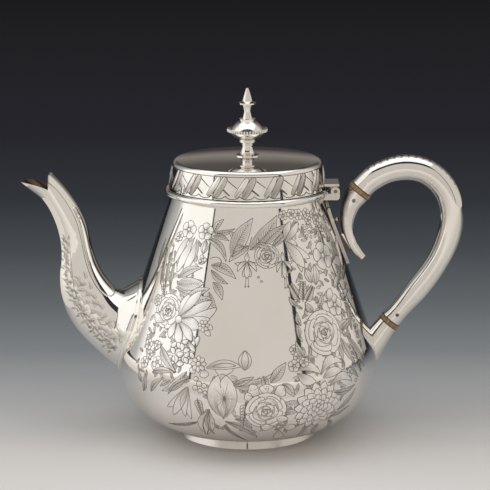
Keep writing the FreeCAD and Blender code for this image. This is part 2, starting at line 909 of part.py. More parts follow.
def build():
    """Every piece of the teapot by name."""
    swan_neck = spout()
    pieces = {
        "body_upper": body_upper(),
        "body_lower": body_lower(),
        "body_floor": body_floor(),
        "foot_ring": foot_ring(),
        "mouth_rim": mouth_rim(),
        "strainer_plate": strainer_plate(),
        "spout_collar": spout_collar(),
        "spout_root": swan_neck.common(below_the_neck()),
        "spout_beak": swan_neck.cut(below_the_neck()),
        "hinge_body_leaf": hinge_body_leaf(),
        "hinge_pin": hinge_pin(),
        "leaf_plate": leaf_plate(),
        "leaf_bead": leaf_bead(),
        "upper_socket": upper_socket(),
        "handle": handle(),
        "lower_socket": lower_socket(),
        "lid_shell": lid_shell(),
        "lid_bezel": lid_bezel(),
        "hinge_lid_leaf": hinge_lid_leaf(),
        "finial_foot": finial_foot(),
        "finial_bowl": finial_bowl(),
        "finial_dome": finial_dome(),
        "finial_spire": finial_spire(),
        "finial_stud": finial_stud(),
        "finial_nut": finial_nut(),
    }
    pieces["upper_insulator"] = insulator(
        upper_joint, upper_joint_angle, handle_joint_radius, ["upper_handle_pin", "upper_socket_pin"])
    pieces["lower_insulator"] = insulator(
        lower_joint, lower_joint_angle, handle_low_radius, ["lower_handle_pin", "lower_socket_pin"])
    for name in rivet_spots():
        pieces[name] = rivet(name, 0.0)
    return pieces


os.makedirs("parts", exist_ok=True)
for node, shape in build().items():
    solids = shape.Solids
    whole = solids[0] if len(solids) == 1 else Part.makeCompound(solids)
    print(node, "solids", len(solids), "valid", whole.isValid(), "volume", round(whole.Volume, 1))
    whole.exportStep("parts/" + node + ".step")
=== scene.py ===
import math

import bpy
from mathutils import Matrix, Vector
from mathutils.bvhtree import BVHTree


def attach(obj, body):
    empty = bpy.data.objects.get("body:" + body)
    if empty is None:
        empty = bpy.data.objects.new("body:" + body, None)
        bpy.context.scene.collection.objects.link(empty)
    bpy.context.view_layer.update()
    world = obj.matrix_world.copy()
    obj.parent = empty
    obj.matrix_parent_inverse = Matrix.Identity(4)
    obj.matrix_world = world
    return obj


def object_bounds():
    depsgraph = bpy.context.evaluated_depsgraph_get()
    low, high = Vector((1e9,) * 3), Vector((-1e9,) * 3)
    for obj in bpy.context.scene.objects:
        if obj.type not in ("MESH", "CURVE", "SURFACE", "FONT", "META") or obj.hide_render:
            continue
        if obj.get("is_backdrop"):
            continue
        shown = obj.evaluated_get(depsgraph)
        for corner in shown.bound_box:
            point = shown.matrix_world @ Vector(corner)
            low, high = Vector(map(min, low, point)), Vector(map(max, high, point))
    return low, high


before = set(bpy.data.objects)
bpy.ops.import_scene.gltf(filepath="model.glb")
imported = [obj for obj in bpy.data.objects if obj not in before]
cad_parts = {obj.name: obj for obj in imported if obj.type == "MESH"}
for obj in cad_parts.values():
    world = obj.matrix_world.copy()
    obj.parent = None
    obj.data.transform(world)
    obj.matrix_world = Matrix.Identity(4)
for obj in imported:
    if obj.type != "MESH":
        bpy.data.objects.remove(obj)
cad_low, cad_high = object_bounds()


# Pot: a cone over a round belly, raised from sheet silver, with a wire rim at the mouth and a low foot.
# It is polished to a mirror, so that only wiping haze and hair scratches show between the cuts.
mm = 0.001


class Wire:
    """A socket of a finish; arithmetic on wires adds the Math nodes."""

    def __init__(self, tree, socket=None):
        self.tree = tree
        self.socket = socket

    def node(self, kind, output=0, settings=None, sockets=None):
        """Adds a node: its settings come first, then the values and links of its sockets."""
        made = self.tree.nodes.new(kind)
        for name, value in (settings or {}).items():
            if name == "stops":
                stops = made.color_ramp.elements
                while len(stops) < len(value):
                    stops.new(0.5)
                for stop, (place, colour) in zip(stops, value):
                    stop.position = place
                    stop.color = (*colour, 1.0)
            else:
                setattr(made, name, value)
        for name, value in (sockets or {}).items():
            if isinstance(value, Wire):
                self.tree.links.new(value.socket, made.inputs[name])
            else:
                made.inputs[name].default_value = value
        return Wire(self.tree, made.outputs[output])

    def maths(self, operation, *values):
        """One Math node on these values."""
        return self.node("ShaderNodeMath", 0, {"operation": operation}, dict(enumerate(values)))

    def __add__(self, other):
        return self.maths("ADD", self, other)

    def __radd__(self, other):
        return self.maths("ADD", other, self)

    def __sub__(self, other):
        return self.maths("SUBTRACT", self, other)

    def __rsub__(self, other):
        return self.maths("SUBTRACT", other, self)

    def __mul__(self, other):
        return self.maths("MULTIPLY", self, other)

    def __rmul__(self, other):
        return self.maths("MULTIPLY", other, self)

    def within(self, low, high):
        """This wire spread from 0 at low to 1 at high, and held at both ends."""
        return self.node("ShaderNodeMapRange", 0, None, {"Value": self, "From Min": low, "From Max": high})

    def blend(self, first, second):
        """A colour that goes from first to second as this wire goes from 0 to 1."""
        ends = [end if isinstance(end, Wire) else (*end, 1.0) for end in (first, second)]
        return self.node("ShaderNodeMix", 2, {"data_type": "RGBA"}, {0: self, 6: ends[0], 7: ends[1]})

    def place(self, kind="Object"):
        """Where a point of the piece lies, or with Normal where it faces."""
        return self.node("ShaderNodeTexCoord", kind)

    def part(self, axis):
        """The X, Y or Z of this place."""
        return self.node("ShaderNodeSeparateXYZ", axis, None, {0: self})

    def noise(self, scale, detail):
        """Cloudy noise read at this place."""
        sockets = {"Vector": self, "Scale": scale, "Detail": detail}
        return self.node("ShaderNodeTexNoise", "Fac", None, sockets)

    def bump(self, strength, depth):
        """A surface that rises and falls with this wire."""
        sockets = {"Strength": strength, "Distance": depth, "Height": self}
        return self.node("ShaderNodeBump", "Normal", None, sockets)


def new_finish(name):
    """A new metal finish: its material, its surface shader, and a wire to add its nodes with."""
    finish = bpy.data.materials.new(name)
    finish.use_nodes = True
    shader = finish.node_tree.nodes["Principled BSDF"]
    shader.inputs["Metallic"].default_value = 1.0
    return finish, shader, Wire(finish.node_tree)


def feed(finish, shader, wires):
    """Links wires to the sockets of a finish's surface shader."""
    for name, wire in wires.items():
        finish.node_tree.links.new(wire.socket, shader.inputs[name])


def polished_silver(name, light, dull, gloss, haze, darkened=None, stain_or_shade_colour=(0.1, 0.09, 0.08)):
    """Mirror silver, clouded by wiping and marked with hair scratches; a mask may darken it with a real
    stain or with painted shade.
    """
    cloud_scale = 38.0
    hair_scale = (260.0, 260.0, 3200.0)
    hair_depth = 0.02 * mm
    finish, shader, wire = new_finish(name)
    place = wire.place()
    wiped = place.noise(cloud_scale, 5.0).within(0.3, 0.75)
    hairs = wire.node("ShaderNodeVectorMath", 0, {"operation": "MULTIPLY"}, {0: place, 1: hair_scale})
    scratch = hairs.noise(1.0, 2.0)
    colour = wiped.blend(dull, light)
    rough = gloss + wiped * (haze - gloss) + scratch.within(0.62, 0.8) * 0.05
    # Where the mask says, a real tea stain in the spout or painted shade on the horn darkens the silver.
    if darkened:
        stain_or_shade = darkened(wire)
        colour = stain_or_shade.blend(colour, stain_or_shade_colour)
        rough = rough + stain_or_shade * 0.25
    relief = scratch.bump(0.05, hair_depth)
    feed(finish, shader, {"Base Color": colour, "Roughness": rough, "Normal": relief})
    return finish


def dress(finish, *names):
    """Gives a finish to pieces that come from the solid model."""
    for name in names:
        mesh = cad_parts[name].data
        mesh.materials.clear()
        mesh.materials.append(finish)


bright = {"light": (0.94, 0.92, 0.885), "dull": (0.89, 0.865, 0.82), "gloss": 0.035, "haze": 0.085}
# The foot ring's silver is rougher from wear on the table, and painted darker as shade under the belly.
foot_wear_and_shade = {"light": (0.80, 0.77, 0.72), "dull": (0.66, 0.63, 0.585), "gloss": 0.2, "haze": 0.34}
bright_silver = polished_silver("bright_silver", **bright)
dress(bright_silver, "body_upper", "body_lower", "body_floor", "mouth_rim")
dress(polished_silver("foot_wear_and_shade_silver", **foot_wear_and_shade), "foot_ring")


# Wreath: garden flowers cut by hand round a plain panel, the same on the front and on the back.
# Petals are frosted with fine cuts that run out from the heart, and deeper lines hold dark tarnish.
def part_way(share, first, last):
    """The place a share of the way from one place to another."""
    return tuple(a + share * (b - a) for a, b in zip(first, last))


class Engraving:
    """Petals and cut lines laid on a surface, where later ones lie over earlier ones."""

    # The finishes of a piece in their order, and in millimetres how high its lowest layer lies,
    # each layer over the one below it, and a line over its own petal.
    frost, dark, shade, fine, soft = range(5)
    first_lift = 0.008
    layer_lift = 0.005
    line_lift = 0.0025

    def __init__(self, surface, scale, cell, step, cut=dark):
        """On a surface with its scale; layers are counted in cells, and no face is longer than a step."""
        self.surface = surface
        self.scale = scale
        self.cell = cell
        self.step = step
        self.cut = cut
        self.points = []
        self.faces = []
        self.marks = []
        self.finishes = []
        self.tops = {}

    def moved(self, place, right, up):
        """The place so many millimetres right of and above another one."""
        wide, high = self.scale(*place)
        return place[0] + right / wide, place[1] + up / high

    def span(self, base, tip, place):
        """How many millimetres right and up it is from base to tip, by the scale at a place."""
        wide, high = self.scale(*place)
        return (tip[0] - base[0]) * wide, (tip[1] - base[1]) * high

    def layer(self, places):
        """The lift that clears all that lies under these places already."""
        cells = {(round(a / self.cell[0]), round(b / self.cell[1])) for a, b in places}
        level = 1 + max(self.tops.get(cell, 0) for cell in cells)
        for cell in cells:
            self.tops[cell] = level
        return self.first_lift + self.layer_lift * level

    def sheet(self, rows, finish, lift, rise=0.0):
        """Faces between rows of places, each with its mark along and across a petal; rise rounds them."""
        first = len(self.points)
        across = len(rows[0])
        for row in rows:
            for a, b, (along, side) in row:
                crown = rise * (1 - side * side) * math.sqrt(abs(math.sin(math.pi * along)))
                self.points.append(self.surface(a, b, lift + crown))
        for i in range(len(rows) - 1):
            for j in range(across - 1):
                corners = [(i, j), (i + 1, j), (i + 1, j + 1), (i, j + 1)]
                self.faces.append([first + row * across + column for row, column in corners])
                self.marks.extend(rows[row][column][2] for row, column in corners)
                self.finishes.append(finish)

    def stroke(self, places, widths, lift):
        """One cut, as wide as each of its places says, in steps short enough to follow the wall."""
        wide, high = self.scale(*places[0])
        given = [(*place, width) for place, width in zip(places, widths)]
        path = []
        for here, after in zip(given, given[1:]):
            length = math.hypot(*self.span(here, after, places[0]))
            steps = max(1, math.ceil(length / self.step))
            path.extend(part_way(k / steps, here, after) for k in range(steps))
        path.append(given[-1])
        rows = []
        for k, (a, b, width) in enumerate(path):
            before = path[max(k - 1, 0)]
            after = path[min(k + 1, len(path) - 1)]
            right, up = self.span(before, after, places[0])
            half = width / 2 / (math.hypot(right, up) or 1.0)
            over = half * up / wide
            down = half * right / high
            rows.append([(a + side * over, b - side * down, (0.5, side)) for side in (1, -1)])
        self.sheet(rows, self.cut, lift)

    def petal(self, base, tip, width, bend=0.0, full=0.62, blunt=0.75, rim=0.3, finish=frost, rise=0.0):
        """A frosted petal with a cut round it, widest where full says and bowed to its left by bend."""
        middle = part_way(0.5, base, tip)
        wide, high = self.scale(*middle)
        right, up = self.span(base, tip, middle)
        length = math.hypot(right, up)
        power = math.log(0.5) / math.log(full)

        def at(along, side):
            swell = max(math.sin(math.pi * along ** power), 0.0) ** blunt
            off = width / 2 * swell * side / length + bend * 4 * along * (1 - along)
            return base[0] + (along * right - off * up) / wide, base[1] + (along * up + off * right) / high

        steps = max(6, math.ceil(length / self.step))
        columns = max(4 if rise else 2, math.ceil(width / self.step))
        alongs = [(1 - math.cos(math.pi * i / steps)) / 2 for i in range(steps + 1)]
        sides = [2 * j / columns - 1 for j in range(columns + 1)]
        rows = [[(*at(along, side), (along, side)) for side in sides] for along in alongs]
        lift = self.layer([(a, b) for row in rows for a, b, _ in row])
        self.sheet(rows, finish, lift, rise)
        border = [at(along, 1) for along in alongs] + [at(along, -1) for along in alongs[-2::-1]]
        last = len(border) - 1
        swells = [abs(math.sin(math.pi * i / last)) ** 0.7 for i in range(last + 1)]
        self.stroke(border, [rim * (0.35 + 0.65 * swell) for swell in swells], lift + self.line_lift)
        return at, lift + self.line_lift, length

    def leaf(self, base, tip, width, bend=0.0):
        """A pointed leaf with its midrib and veins."""
        rib_steps = 8
        vein_gap = 1.5
        at, lift, length = self.petal(base, tip, width, bend, full=0.42, blunt=1.0, finish=self.fine)
        midrib = [at(k / rib_steps, 0.0) for k in range(rib_steps)]
        self.stroke(midrib, [0.34 - 0.03 * k for k in range(rib_steps)], lift)
        veins = max(3, round(length / vein_gap))
        for k in range(1, veins):
            along = 0.82 * k / veins
            for side in (0.75, -0.75):
                vein = [at(along, 0.0), at(along + 0.06, side * 0.5), at(along + 0.13, side)]
                self.stroke(vein, [0.2, 0.17, 0.06], lift)

    def undergrowth(self, low, high, gap):
        """Small shaded leaves that lie every way behind the flowers, between two corners."""
        right, up = self.span(low, high, part_way(0.5, low, high))
        columns = round(right / gap)
        rows = round(up / gap)
        for k in range(columns * rows):
            row, column = divmod(k, columns)
            share = (column + 0.5 + 0.4 * math.sin(2.4 * k)) / columns
            rise = (row + 0.5 + 0.4 * math.sin(3.7 * k)) / rows
            base = (low[0] + share * (high[0] - low[0]), low[1] + rise * (high[1] - low[1]))
            tip = self.moved(base, 1.1 * gap * math.cos(2.4 * k), 1.1 * gap * math.sin(2.4 * k))
            finish = (self.shade, self.fine)[k % 2]
            at, lift, _ = self.petal(
                base, tip, 0.45 * gap, 0.1 * math.sin(k), full=0.45, blunt=0.9, rim=0.22, finish=finish)
            self.stroke([at(0.0, 0.0), at(0.4, 0.0), at(0.85, 0.0)], [0.2, 0.16, 0.08], lift)

    def ring(self, centre, reach, count, turn, width, full, blunt):
        """Petals set evenly round a heart."""
        for k in range(count):
            angle = math.radians(turn + 360 * k / count)
            right = reach * math.cos(angle)
            up = reach * math.sin(angle)
            heart = self.moved(centre, 0.1 * right, 0.1 * up)
            self.petal(heart, self.moved(centre, right, up), width, full=full, blunt=blunt)

    def berry(self, centre, radius):
        """A round berry, or the heart of a flower."""
        low = self.moved(centre, 0.0, -radius)
        high = self.moved(centre, 0.0, radius)
        self.petal(low, high, 2 * radius, full=0.5, blunt=0.5, rim=0.34)

    def blossom(self, centre, reach, count, turn):
        """A wild blossom with round petals."""
        self.ring(centre, reach, count, turn, width=4.6 * reach / count, full=0.68, blunt=0.55)
        self.berry(centre, 0.2 * reach)

    def daisy(self, centre, reach, count, turn):
        """Narrow petals round a broad heart."""
        self.ring(centre, reach, count, turn, width=4.4 * reach / count, full=0.6, blunt=0.8)
        self.berry(centre, 0.3 * reach)

    def rose(self, centre, reach, turn):
        """A full rose: broad open petals, then curled ones that wrap round its heart."""
        self.ring(centre, reach, 5, turn, width=1.15 * reach, full=0.7, blunt=0.55)
        self.ring(centre, 0.82 * reach, 4, turn + 40, width=1.0 * reach, full=0.7, blunt=0.55)
        curls = 12
        curl_turn = 137
        curl_wrap = 2.1
        for k in range(curls):
            radius = reach * (0.62 - 0.045 * k)
            angle = math.radians(turn + curl_turn * k)
            start = self.moved(centre, radius * math.cos(angle), radius * math.sin(angle))
            angle += curl_wrap
            end = self.moved(centre, radius * math.cos(angle), radius * math.sin(angle))
            self.petal(start, end, 0.62 * radius, -0.2, full=0.5, blunt=0.8)

    def dahlia(self, centre, reach):
        """Four rings of pointed petals."""
        rings = [(1.0, 14), (0.75, 12), (0.5, 9), (0.28, 6)]
        for k, (share, count) in enumerate(rings):
            width = 6.0 * share * reach / count
            self.ring(centre, share * reach, count, 11 * k, width, full=0.6, blunt=0.85)
        self.berry(centre, 0.09 * reach)

    def bud(self, base, tip, width):
        """A closed flower: two petals folded round a third."""
        for bend in (0.16, -0.16):
            self.petal(base, tip, 0.5 * width, bend, full=0.45, blunt=0.8)
        self.petal(base, tip, 0.5 * width, full=0.5, blunt=0.8)

    def fern(self, base, tip, width):
        """A frond of small leaflets in pairs."""
        right, up = self.span(base, tip, base)
        length = math.hypot(right, up)
        pairs = 7
        for k in range(pairs):
            along = 0.1 + 0.125 * k
            start = self.moved(base, along * right, along * up)
            reach = width * (0.75 - 0.45 * along) / length
            for side in (1, -1):
                over = 0.8 * right - side * 0.7 * up
                rise = 0.8 * up + side * 0.7 * right
                end = self.moved(start, reach * over, reach * rise)
                self.petal(start, end, 0.4 * reach * length, 0.08 * side, full=0.5, blunt=0.9, rim=0.28)
        self.stem(base, tip)

    def stem(self, *places):
        """A stalk that follows the places given, with its corners eased."""
        for _ in range(2):
            eased = [places[0]]
            for pair in zip(places, places[1:]):
                eased.extend(part_way(share, *pair) for share in (0.25, 0.75))
            places = eased + [places[-1]]
        self.stroke(places, [0.34] * len(places), self.layer(places) + self.line_lift)

    def sprig(self, base, lean, length):
        """A twig cut in single lines, with curled leaves on both sides."""
        def out(start, turn, reach):
            return self.moved(start, reach * math.cos(turn), reach * math.sin(turn))

        joints = [out(base, lean + 0.1 * k, 0.18 * k * length) for k in range(6)]
        lift = self.layer(joints) + self.line_lift
        self.stroke(joints, [0.08, 0.18, 0.18, 0.18, 0.16, 0.06], lift)
        for k, joint in enumerate(joints[1:]):
            reach = (0.42 - 0.06 * k) * length
            for side in (1, -1):
                bow = out(joint, lean + 1.1 * side, 0.5 * reach)
                curl = out(bow, lean + 0.35 * side, 0.35 * reach)
                tip = out(curl, lean - 0.6 * side, 0.2 * reach)
                self.stroke([joint, bow, curl, tip], [0.1, 0.19, 0.17, 0.07], lift)

    def trumpet(self, centre, half_width, half_height):
        """A bindweed flower seen from the front, with folds that run to its throat."""
        low = self.moved(centre, 0.0, -half_height)
        high = self.moved(centre, 0.0, half_height)
        at, lift, _ = self.petal(low, high, 2 * half_width, full=0.5, blunt=0.5)
        throat = at(0.45, -0.15)
        folds = 15
        for k in range(folds):
            angle = 2 * math.pi * k / folds
            reach = 0.85 if k % 3 == 0 else 0.5
            right = reach * half_width * math.cos(angle)
            up = reach * half_height * math.sin(angle)
            fold = [throat, self.moved(throat, 0.5 * right, 0.5 * up), self.moved(throat, right, up)]
            self.stroke(fold, [0.32, 0.2, 0.06], lift)

    def fuchsia(self, top, bottom, width):
        """A hanging flower: swept sepals, a bell of petals and long stamens."""
        drop = self.span(top, bottom, top)[1]
        waist = self.moved(top, 0.0, 0.3 * drop)

        def below(right, fall):
            return self.moved(waist, right * width, fall * drop)

        for side in (-1, 1):
            foot = below(0.12 * side, 1.0)
            self.stroke([waist, below(0.1 * side, 0.7), foot], [0.2, 0.2, 0.26], self.layer([foot]))
            self.berry(foot, 0.32)
            self.petal(waist, below(0.3 * side, 0.62), 0.55 * width, -0.1 * side)
            self.petal(waist, below(1.05 * side, 0.1), 0.42 * width, -0.2 * side, full=0.5, blunt=0.9)
            self.petal(waist, below(0.8 * side, 0.42), 0.36 * width, 0.12 * side, full=0.5, blunt=0.9)
        self.petal(waist, below(0.0, 0.68), 0.5 * width)
        self.petal(top, below(0.0, 0.06), 0.4 * width, full=0.5, blunt=0.7)

    def piece(self, name, body, place=lambda x, y, z: (x, y, z), mirrored=False):
        """A piece of these cuts for a body, moved as place says; its marks lie in a map of their own."""
        mesh = bpy.data.meshes.new(name)
        corners = [[mm * v for v in place(*point)] for point in self.points]
        faces = [face[::-1] for face in self.faces] if mirrored else self.faces
        mesh.from_pydata(corners, [], faces)
        marks = self.marks
        if mirrored:
            marks = [mark for k in range(0, len(marks), 4) for mark in marks[k:k + 4][::-1]]
        chart = mesh.uv_layers.new(name="petal")
        chart.data.foreach_set("uv", [v for along, side in marks for v in (along, 0.5 + 0.5 * side)])
        for finish in (frosted_petal, dark_cut, shaded_leaf, fine_leaf, soft_cut):
            mesh.materials.append(finish)
        mesh.polygons.foreach_set("material_index", self.finishes)
        mesh.polygons.foreach_set("use_smooth", [True] * len(mesh.polygons))
        made = bpy.data.objects.new(name, mesh)
        bpy.context.scene.collection.objects.link(made)
        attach(made, body)


def frosted(name, pale, dark, spread):
    """Silver frosted by fine cuts that fan out from the heart of a petal; spread is how far they reach."""
    finish, shader, wire = new_finish(name)
    mark = wire.node("ShaderNodeUVMap", 0, {"uv_map": "petal"})
    along = mark.part("X")
    across = mark.part("Y")
    height = wire.place().part("Z")
    fan = wire.node("ShaderNodeCombineXYZ", 0, None, {0: along * 1.6, 1: across * 13.0, 2: height * 60.0})
    hatch = fan.noise(1.0, 2.0)
    shade = (hatch.within(0.36, 0.62) * 0.75 + 0.25) * (1 - along.within(0.0, spread))
    side = across * 2 - 1
    crown = (1 - side * side) * 0.8 + hatch * 0.25
    feed(finish, shader, {
        "Base Color": shade.blend(pale, dark),
        "Roughness": 0.2 + hatch * 0.16,
        "Normal": crown.bump(0.35, 0.4 * mm),
    })
    return finish


def tarnished_cut(name, deep, worn):
    """The bottom of a cut line, deep with tarnish in some places and worn in others."""
    finish, shader, wire = new_finish(name)
    depth = wire.place().noise(300.0, 2.0)
    feed(finish, shader, {
        "Base Color": depth.within(0.35, 0.7).blend(deep, worn),
        "Roughness": depth * 0.2 + 0.3,
    })
    return finish


frosted_petal = frosted("frosted_petal", pale=(0.95, 0.925, 0.885), dark=(0.27, 0.243, 0.21), spread=0.6)
shaded_leaf = frosted("shaded_leaf", pale=(0.74, 0.71, 0.665), dark=(0.25, 0.225, 0.195), spread=1.1)
fine_leaf = frosted("fine_leaf", pale=(0.92, 0.895, 0.855), dark=(0.36, 0.33, 0.295), spread=0.8)
dark_cut = tarnished_cut("dark_cut", deep=(0.13, 0.115, 0.1), worn=(0.29, 0.262, 0.232))
soft_cut = tarnished_cut("soft_cut", deep=(0.27, 0.245, 0.215), worn=(0.5, 0.465, 0.42))

mouth_height = 121.0
mouth_radius = 37.4
cone_taper = 0.3464
cone_foot = 47.82
belly_height = 38.0
belly_radius = 64.4
shoulder_arc = 30.0
bowl_arc = 34.0
belly_front = -cad_low[1] / mm
belly_ease = 0.03


def pot_radius(height):
    """The pot's outer radius at a height: a straight cone, eased into a belly of two arcs."""
    if height > cone_foot:
        return mouth_radius + cone_taper * (mouth_height - height)
    arc = shoulder_arc if height > belly_height else bowl_arc
    return belly_radius - arc + math.sqrt(arc ** 2 - (height - belly_height) ** 2)


def pot_slope(height):
    """How fast the pot widens with height."""
    step = 0.05
    return (pot_radius(height + step) - pot_radius(height - step)) / (2 * step)


def on_pot(turn, height, lift):
    """A point over the pot's wall, turned from the front; the belly's foremost spot is pressed flat."""
    slope = pot_slope(height)
    lean = math.hypot(1.0, slope)
    reach = pot_radius(height) + lift / lean
    front = reach * math.cos(turn)
    over = front - belly_front + belly_ease
    if over > 0.0:
        front = belly_front - belly_ease * math.exp(-over / belly_ease)
    return reach * math.sin(turn), -front, height - lift * slope / lean


def pot_scale(turn, height):
    """Millimetres of wall for one radian of turn and for one millimetre of height."""
    return pot_radius(height), math.hypot(1.0, pot_slope(height))


eye = Vector((-1.13, -1000.0, 320.0))
pitch = math.radians(12.7)
picture_width = 490.0
focus = 2070.0
nearest_wall = 880.0
farthest_wall = 1100.0
look_step = 0.5
pot_low = 4.0
wreath_low = 9.5
wreath_edge = 0.985


def seen(across, down):
    """The place on the pot that shows in the picture, so many pixels from its left and its upper edge."""
    right = (across - picture_width / 2) / focus
    rise = (picture_width / 2 - down) / focus
    forward = math.cos(pitch) + rise * math.sin(pitch)
    ray = Vector((right, forward, rise * math.cos(pitch) - math.sin(pitch)))

    def clearance(depth):
        point = eye + depth * ray
        return math.hypot(point.x, point.y) - pot_radius(min(max(point.z, pot_low), mouth_height))

    looks = round((farthest_wall - nearest_wall) / look_step)
    depths = [nearest_wall + look_step * k for k in range(looks)]
    far = next((depth for depth in depths if clearance(depth) <= 0.0), None)
    if far is None:
        far = min(depths, key=clearance)
    else:
        near = far - look_step
        for _ in range(10):
            middle = (near + far) / 2
            near, far = (middle, far) if clearance(middle) > 0.0 else (near, middle)
    point = eye + far * ray
    height = max(point.z, wreath_low)
    return math.asin(min(max(point.x / pot_radius(height), -wreath_edge), wreath_edge)), height


wreath = Engraving(on_pot, pot_scale, cell=(0.016, 0.8), step=0.8)
# Each thicket lies between two corners, in radians and millimetres, with this gap between its leaves.
thickets = [
    ((-0.95, 62.0), (-0.5, 104.0), 3.5),
    ((-0.98, 40.0), (-0.42, 62.0), 3.5),
    ((-0.30, 16.0), (0.80, 44.0), 3.9),
    ((0.42, 44.0), (1.16, 66.0), 3.5),
    ((0.46, 66.0), (1.24, 116.0), 3.5),
]
for thicket in thickets:
    wreath.undergrowth(*thicket)


def engrave(kind, plants):
    """Cuts plants of one kind, each from its places in the picture, which are pairs, and its sizes."""
    for plant in plants:
        kind(*[seen(*value) if isinstance(value, tuple) else value for value in plant])


# Places are in pixels of the picture, widths and reaches in millimetres, and turns in degrees.
# Left side, from the shoulder down: grass, a hanging lily, lens leaves, a rose and an open lily.
shoulder_grass = [
    ((160, 284), (168, 242), 2.5, -0.04), ((165, 287), (174, 246), 2.5, 0.03),
    ((170, 290), (176, 258), 2, 0.05), ((158, 268), (166, 238), 2, 0.05),
]
engrave(wreath.leaf, shoulder_grass)
grass_frond = [((165, 300), (163, 262), 3.5)]
engrave(wreath.fern, grass_frond)
collar_leaves = [
    ((214, 232), (224, 219.5), 2.8, 0.12), ((214, 232.5), (235, 228.5), 2.5, -0.1),
    ((213, 236), (229, 241), 2.5, 0.1), ((206, 238), (226, 262), 3.5, 0.18),
]
engrave(wreath.leaf, collar_leaves)
hanging_lily = [
    ((191, 234), (174, 264), 3.5, -0.05, 0.55), ((199, 240), (187, 266), 3.5, 0.05, 0.55),
    ((195, 237), (177, 272), 4.5, -0.03, 0.6), ((197, 239), (183, 271), 4, 0.06, 0.6),
]
engrave(wreath.petal, hanging_lily)
shoulder_blossoms = [((189, 229.5), 4.5, 5, 80), ((205.7, 231.5), 4.2, 5, 90), ((180, 236), 2.5, 5, 20)]
engrave(wreath.blossom, shoulder_blossoms)
nodding_bud = [((206, 240), (203, 254), 3.5)]
engrave(wreath.bud, nodding_bud)
bud_berries = [((202, 257), 1.1), ((205, 260), 1), ((200, 261), 0.9)]
engrave(wreath.berry, bud_berries)
curled_stalk = [((210, 258.5), (216, 256.5), (222, 260), (220, 266))]
engrave(wreath.stem, curled_stalk)
lens_leaves = [
    ((211, 265), (236, 279), 4.5, 0.12), ((211, 270), (228, 284), 3, -0.08),
    ((213, 282), (222, 300), 4, 0.1), ((209, 292), (217, 309), 3, -0.1),
    ((178, 278), (202.5, 268), 4, 0.1), ((178, 289), (201.5, 292.5), 4, -0.1),
    ((177, 284), (205, 283.5), 6.5), ((187, 300), (210, 288.5), 4.5, 0.08),
    ((186, 305), (212, 298), 4, 0.05),
]
engrave(wreath.leaf, lens_leaves)
left_rose = [((168, 311), 8.5, 20)]
engrave(wreath.rose, left_rose)
rose_daisy = [((158, 300), 3, 7, 10)]
engrave(wreath.daisy, rose_daisy)
open_lily = [
    ((165, 322), (155, 313), 4, 0.1), ((178, 319), (190, 294), 4, 0.05),
    ((178, 318), (202, 291), 4.5, 0.03), ((179, 318), (212, 301), 5, -0.03),
    ((179, 319), (217, 308), 5, -0.1), ((179, 320), (210, 319), 4.5, -0.05),
    ((179, 320), (200, 328), 5.5, 0.05), ((179, 321), (192, 341), 4.5, 0.06),
    ((178, 321), (179, 345), 4.5), ((177, 321), (169, 338), 4, -0.06),
]
engrave(wreath.petal, open_lily)
lily_heart = [((178.5, 319.5), 2)]
engrave(wreath.berry, lily_heart)
daisy_petals = [((204, 326.5), (213, 329), 2.5, 0.1), ((203, 327), (210, 336), 2.5)]
engrave(wreath.petal, daisy_petals)
small_daisy = [((203.5, 326), 3, 7, 15)]
engrave(wreath.daisy, small_daisy)
# Left side of the belly: small shrub flowers, willow leaves and a tulip that hangs to the foot.
shrub_leaf = [((166, 332), (159, 337), 2)]
engrave(wreath.leaf, shrub_leaf)
outer_shrub = [
    ((149, 344), 2.8, 5, 15), ((157.5, 345), 2.2, 5, 50), ((150, 354), 2.2, 5, 0),
    ((144.5, 362), 2.8, 5, 30), ((157, 362), 3, 5, 10),
]
engrave(wreath.blossom, outer_shrub)
shrub_berry = [((164, 356), 1.1)]
engrave(wreath.berry, shrub_berry)
inner_shrub = [
    ((176, 348), 3.2, 4, 45), ((186, 346), 3.2, 4, 20), ((180, 359), 3.5, 4, 10),
    ((189, 358), 3, 4, 45), ((171, 360), 2.5, 4, 30),
]
engrave(wreath.blossom, inner_shrub)
willow_leaves = [
    ((161, 346), (176, 372), 4, -0.05), ((152.5, 371.5), (175, 373), 3, 0.08),
    ((151, 391.5), (162, 379), 3, 0.1), ((143.5, 391), (145, 373), 3, -0.1),
    ((142, 382), (139, 371), 2.5, 0.1), ((170, 380), (160, 386), 2),
    ((187, 371.5), (162, 390.5), 4.5, 0.1), ((190, 378), (168, 394), 2.5, -0.08),
]
engrave(wreath.leaf, willow_leaves)
hanging_petals = [((203, 368), (205, 378), 4.5, 0, 0.66), ((195, 366), (191, 373), 3.5, 0, 0.66)]
engrave(wreath.petal, hanging_petals)
belly_daisy = [((198.5, 364), 4, 8, 5)]
engrave(wreath.daisy, belly_daisy)
loose_petals = [((188, 341), (195, 352), 2.5), ((197, 347), (199, 336), 2.5, 0.1)]
engrave(wreath.petal, loose_petals)
currants = [
    ((196, 379), 1.2), ((199, 384), 1.4), ((195, 388), 1.3), ((200, 391), 1.2), ((204, 386), 1.3),
    ((205, 393), 1.1),
]
engrave(wreath.berry, currants)
tulip = [
    ((188, 387), (191.5, 419), 4, -0.06, 0.5), ((187, 387), (167.5, 406.5), 4, 0.08, 0.5),
    ((188, 387), (185.5, 416.5), 4, -0.05, 0.5), ((187.5, 387), (173.5, 414.5), 4.5, 0.03, 0.5),
]
engrave(wreath.petal, tulip)
ground_blade = [((199, 421.5), (168.5, 423), 2, 0.06)]
engrave(wreath.leaf, ground_blade)
ground_frond = [((197, 398), (203, 417), 4)]
engrave(wreath.fern, ground_frond)
low_bud = [((208.5, 411), (207, 434.5), 5)]
engrave(wreath.bud, low_bud)
bud_blade = [((210, 411), (214.5, 434), 2.5, -0.12)]
engrave(wreath.leaf, bud_blade)
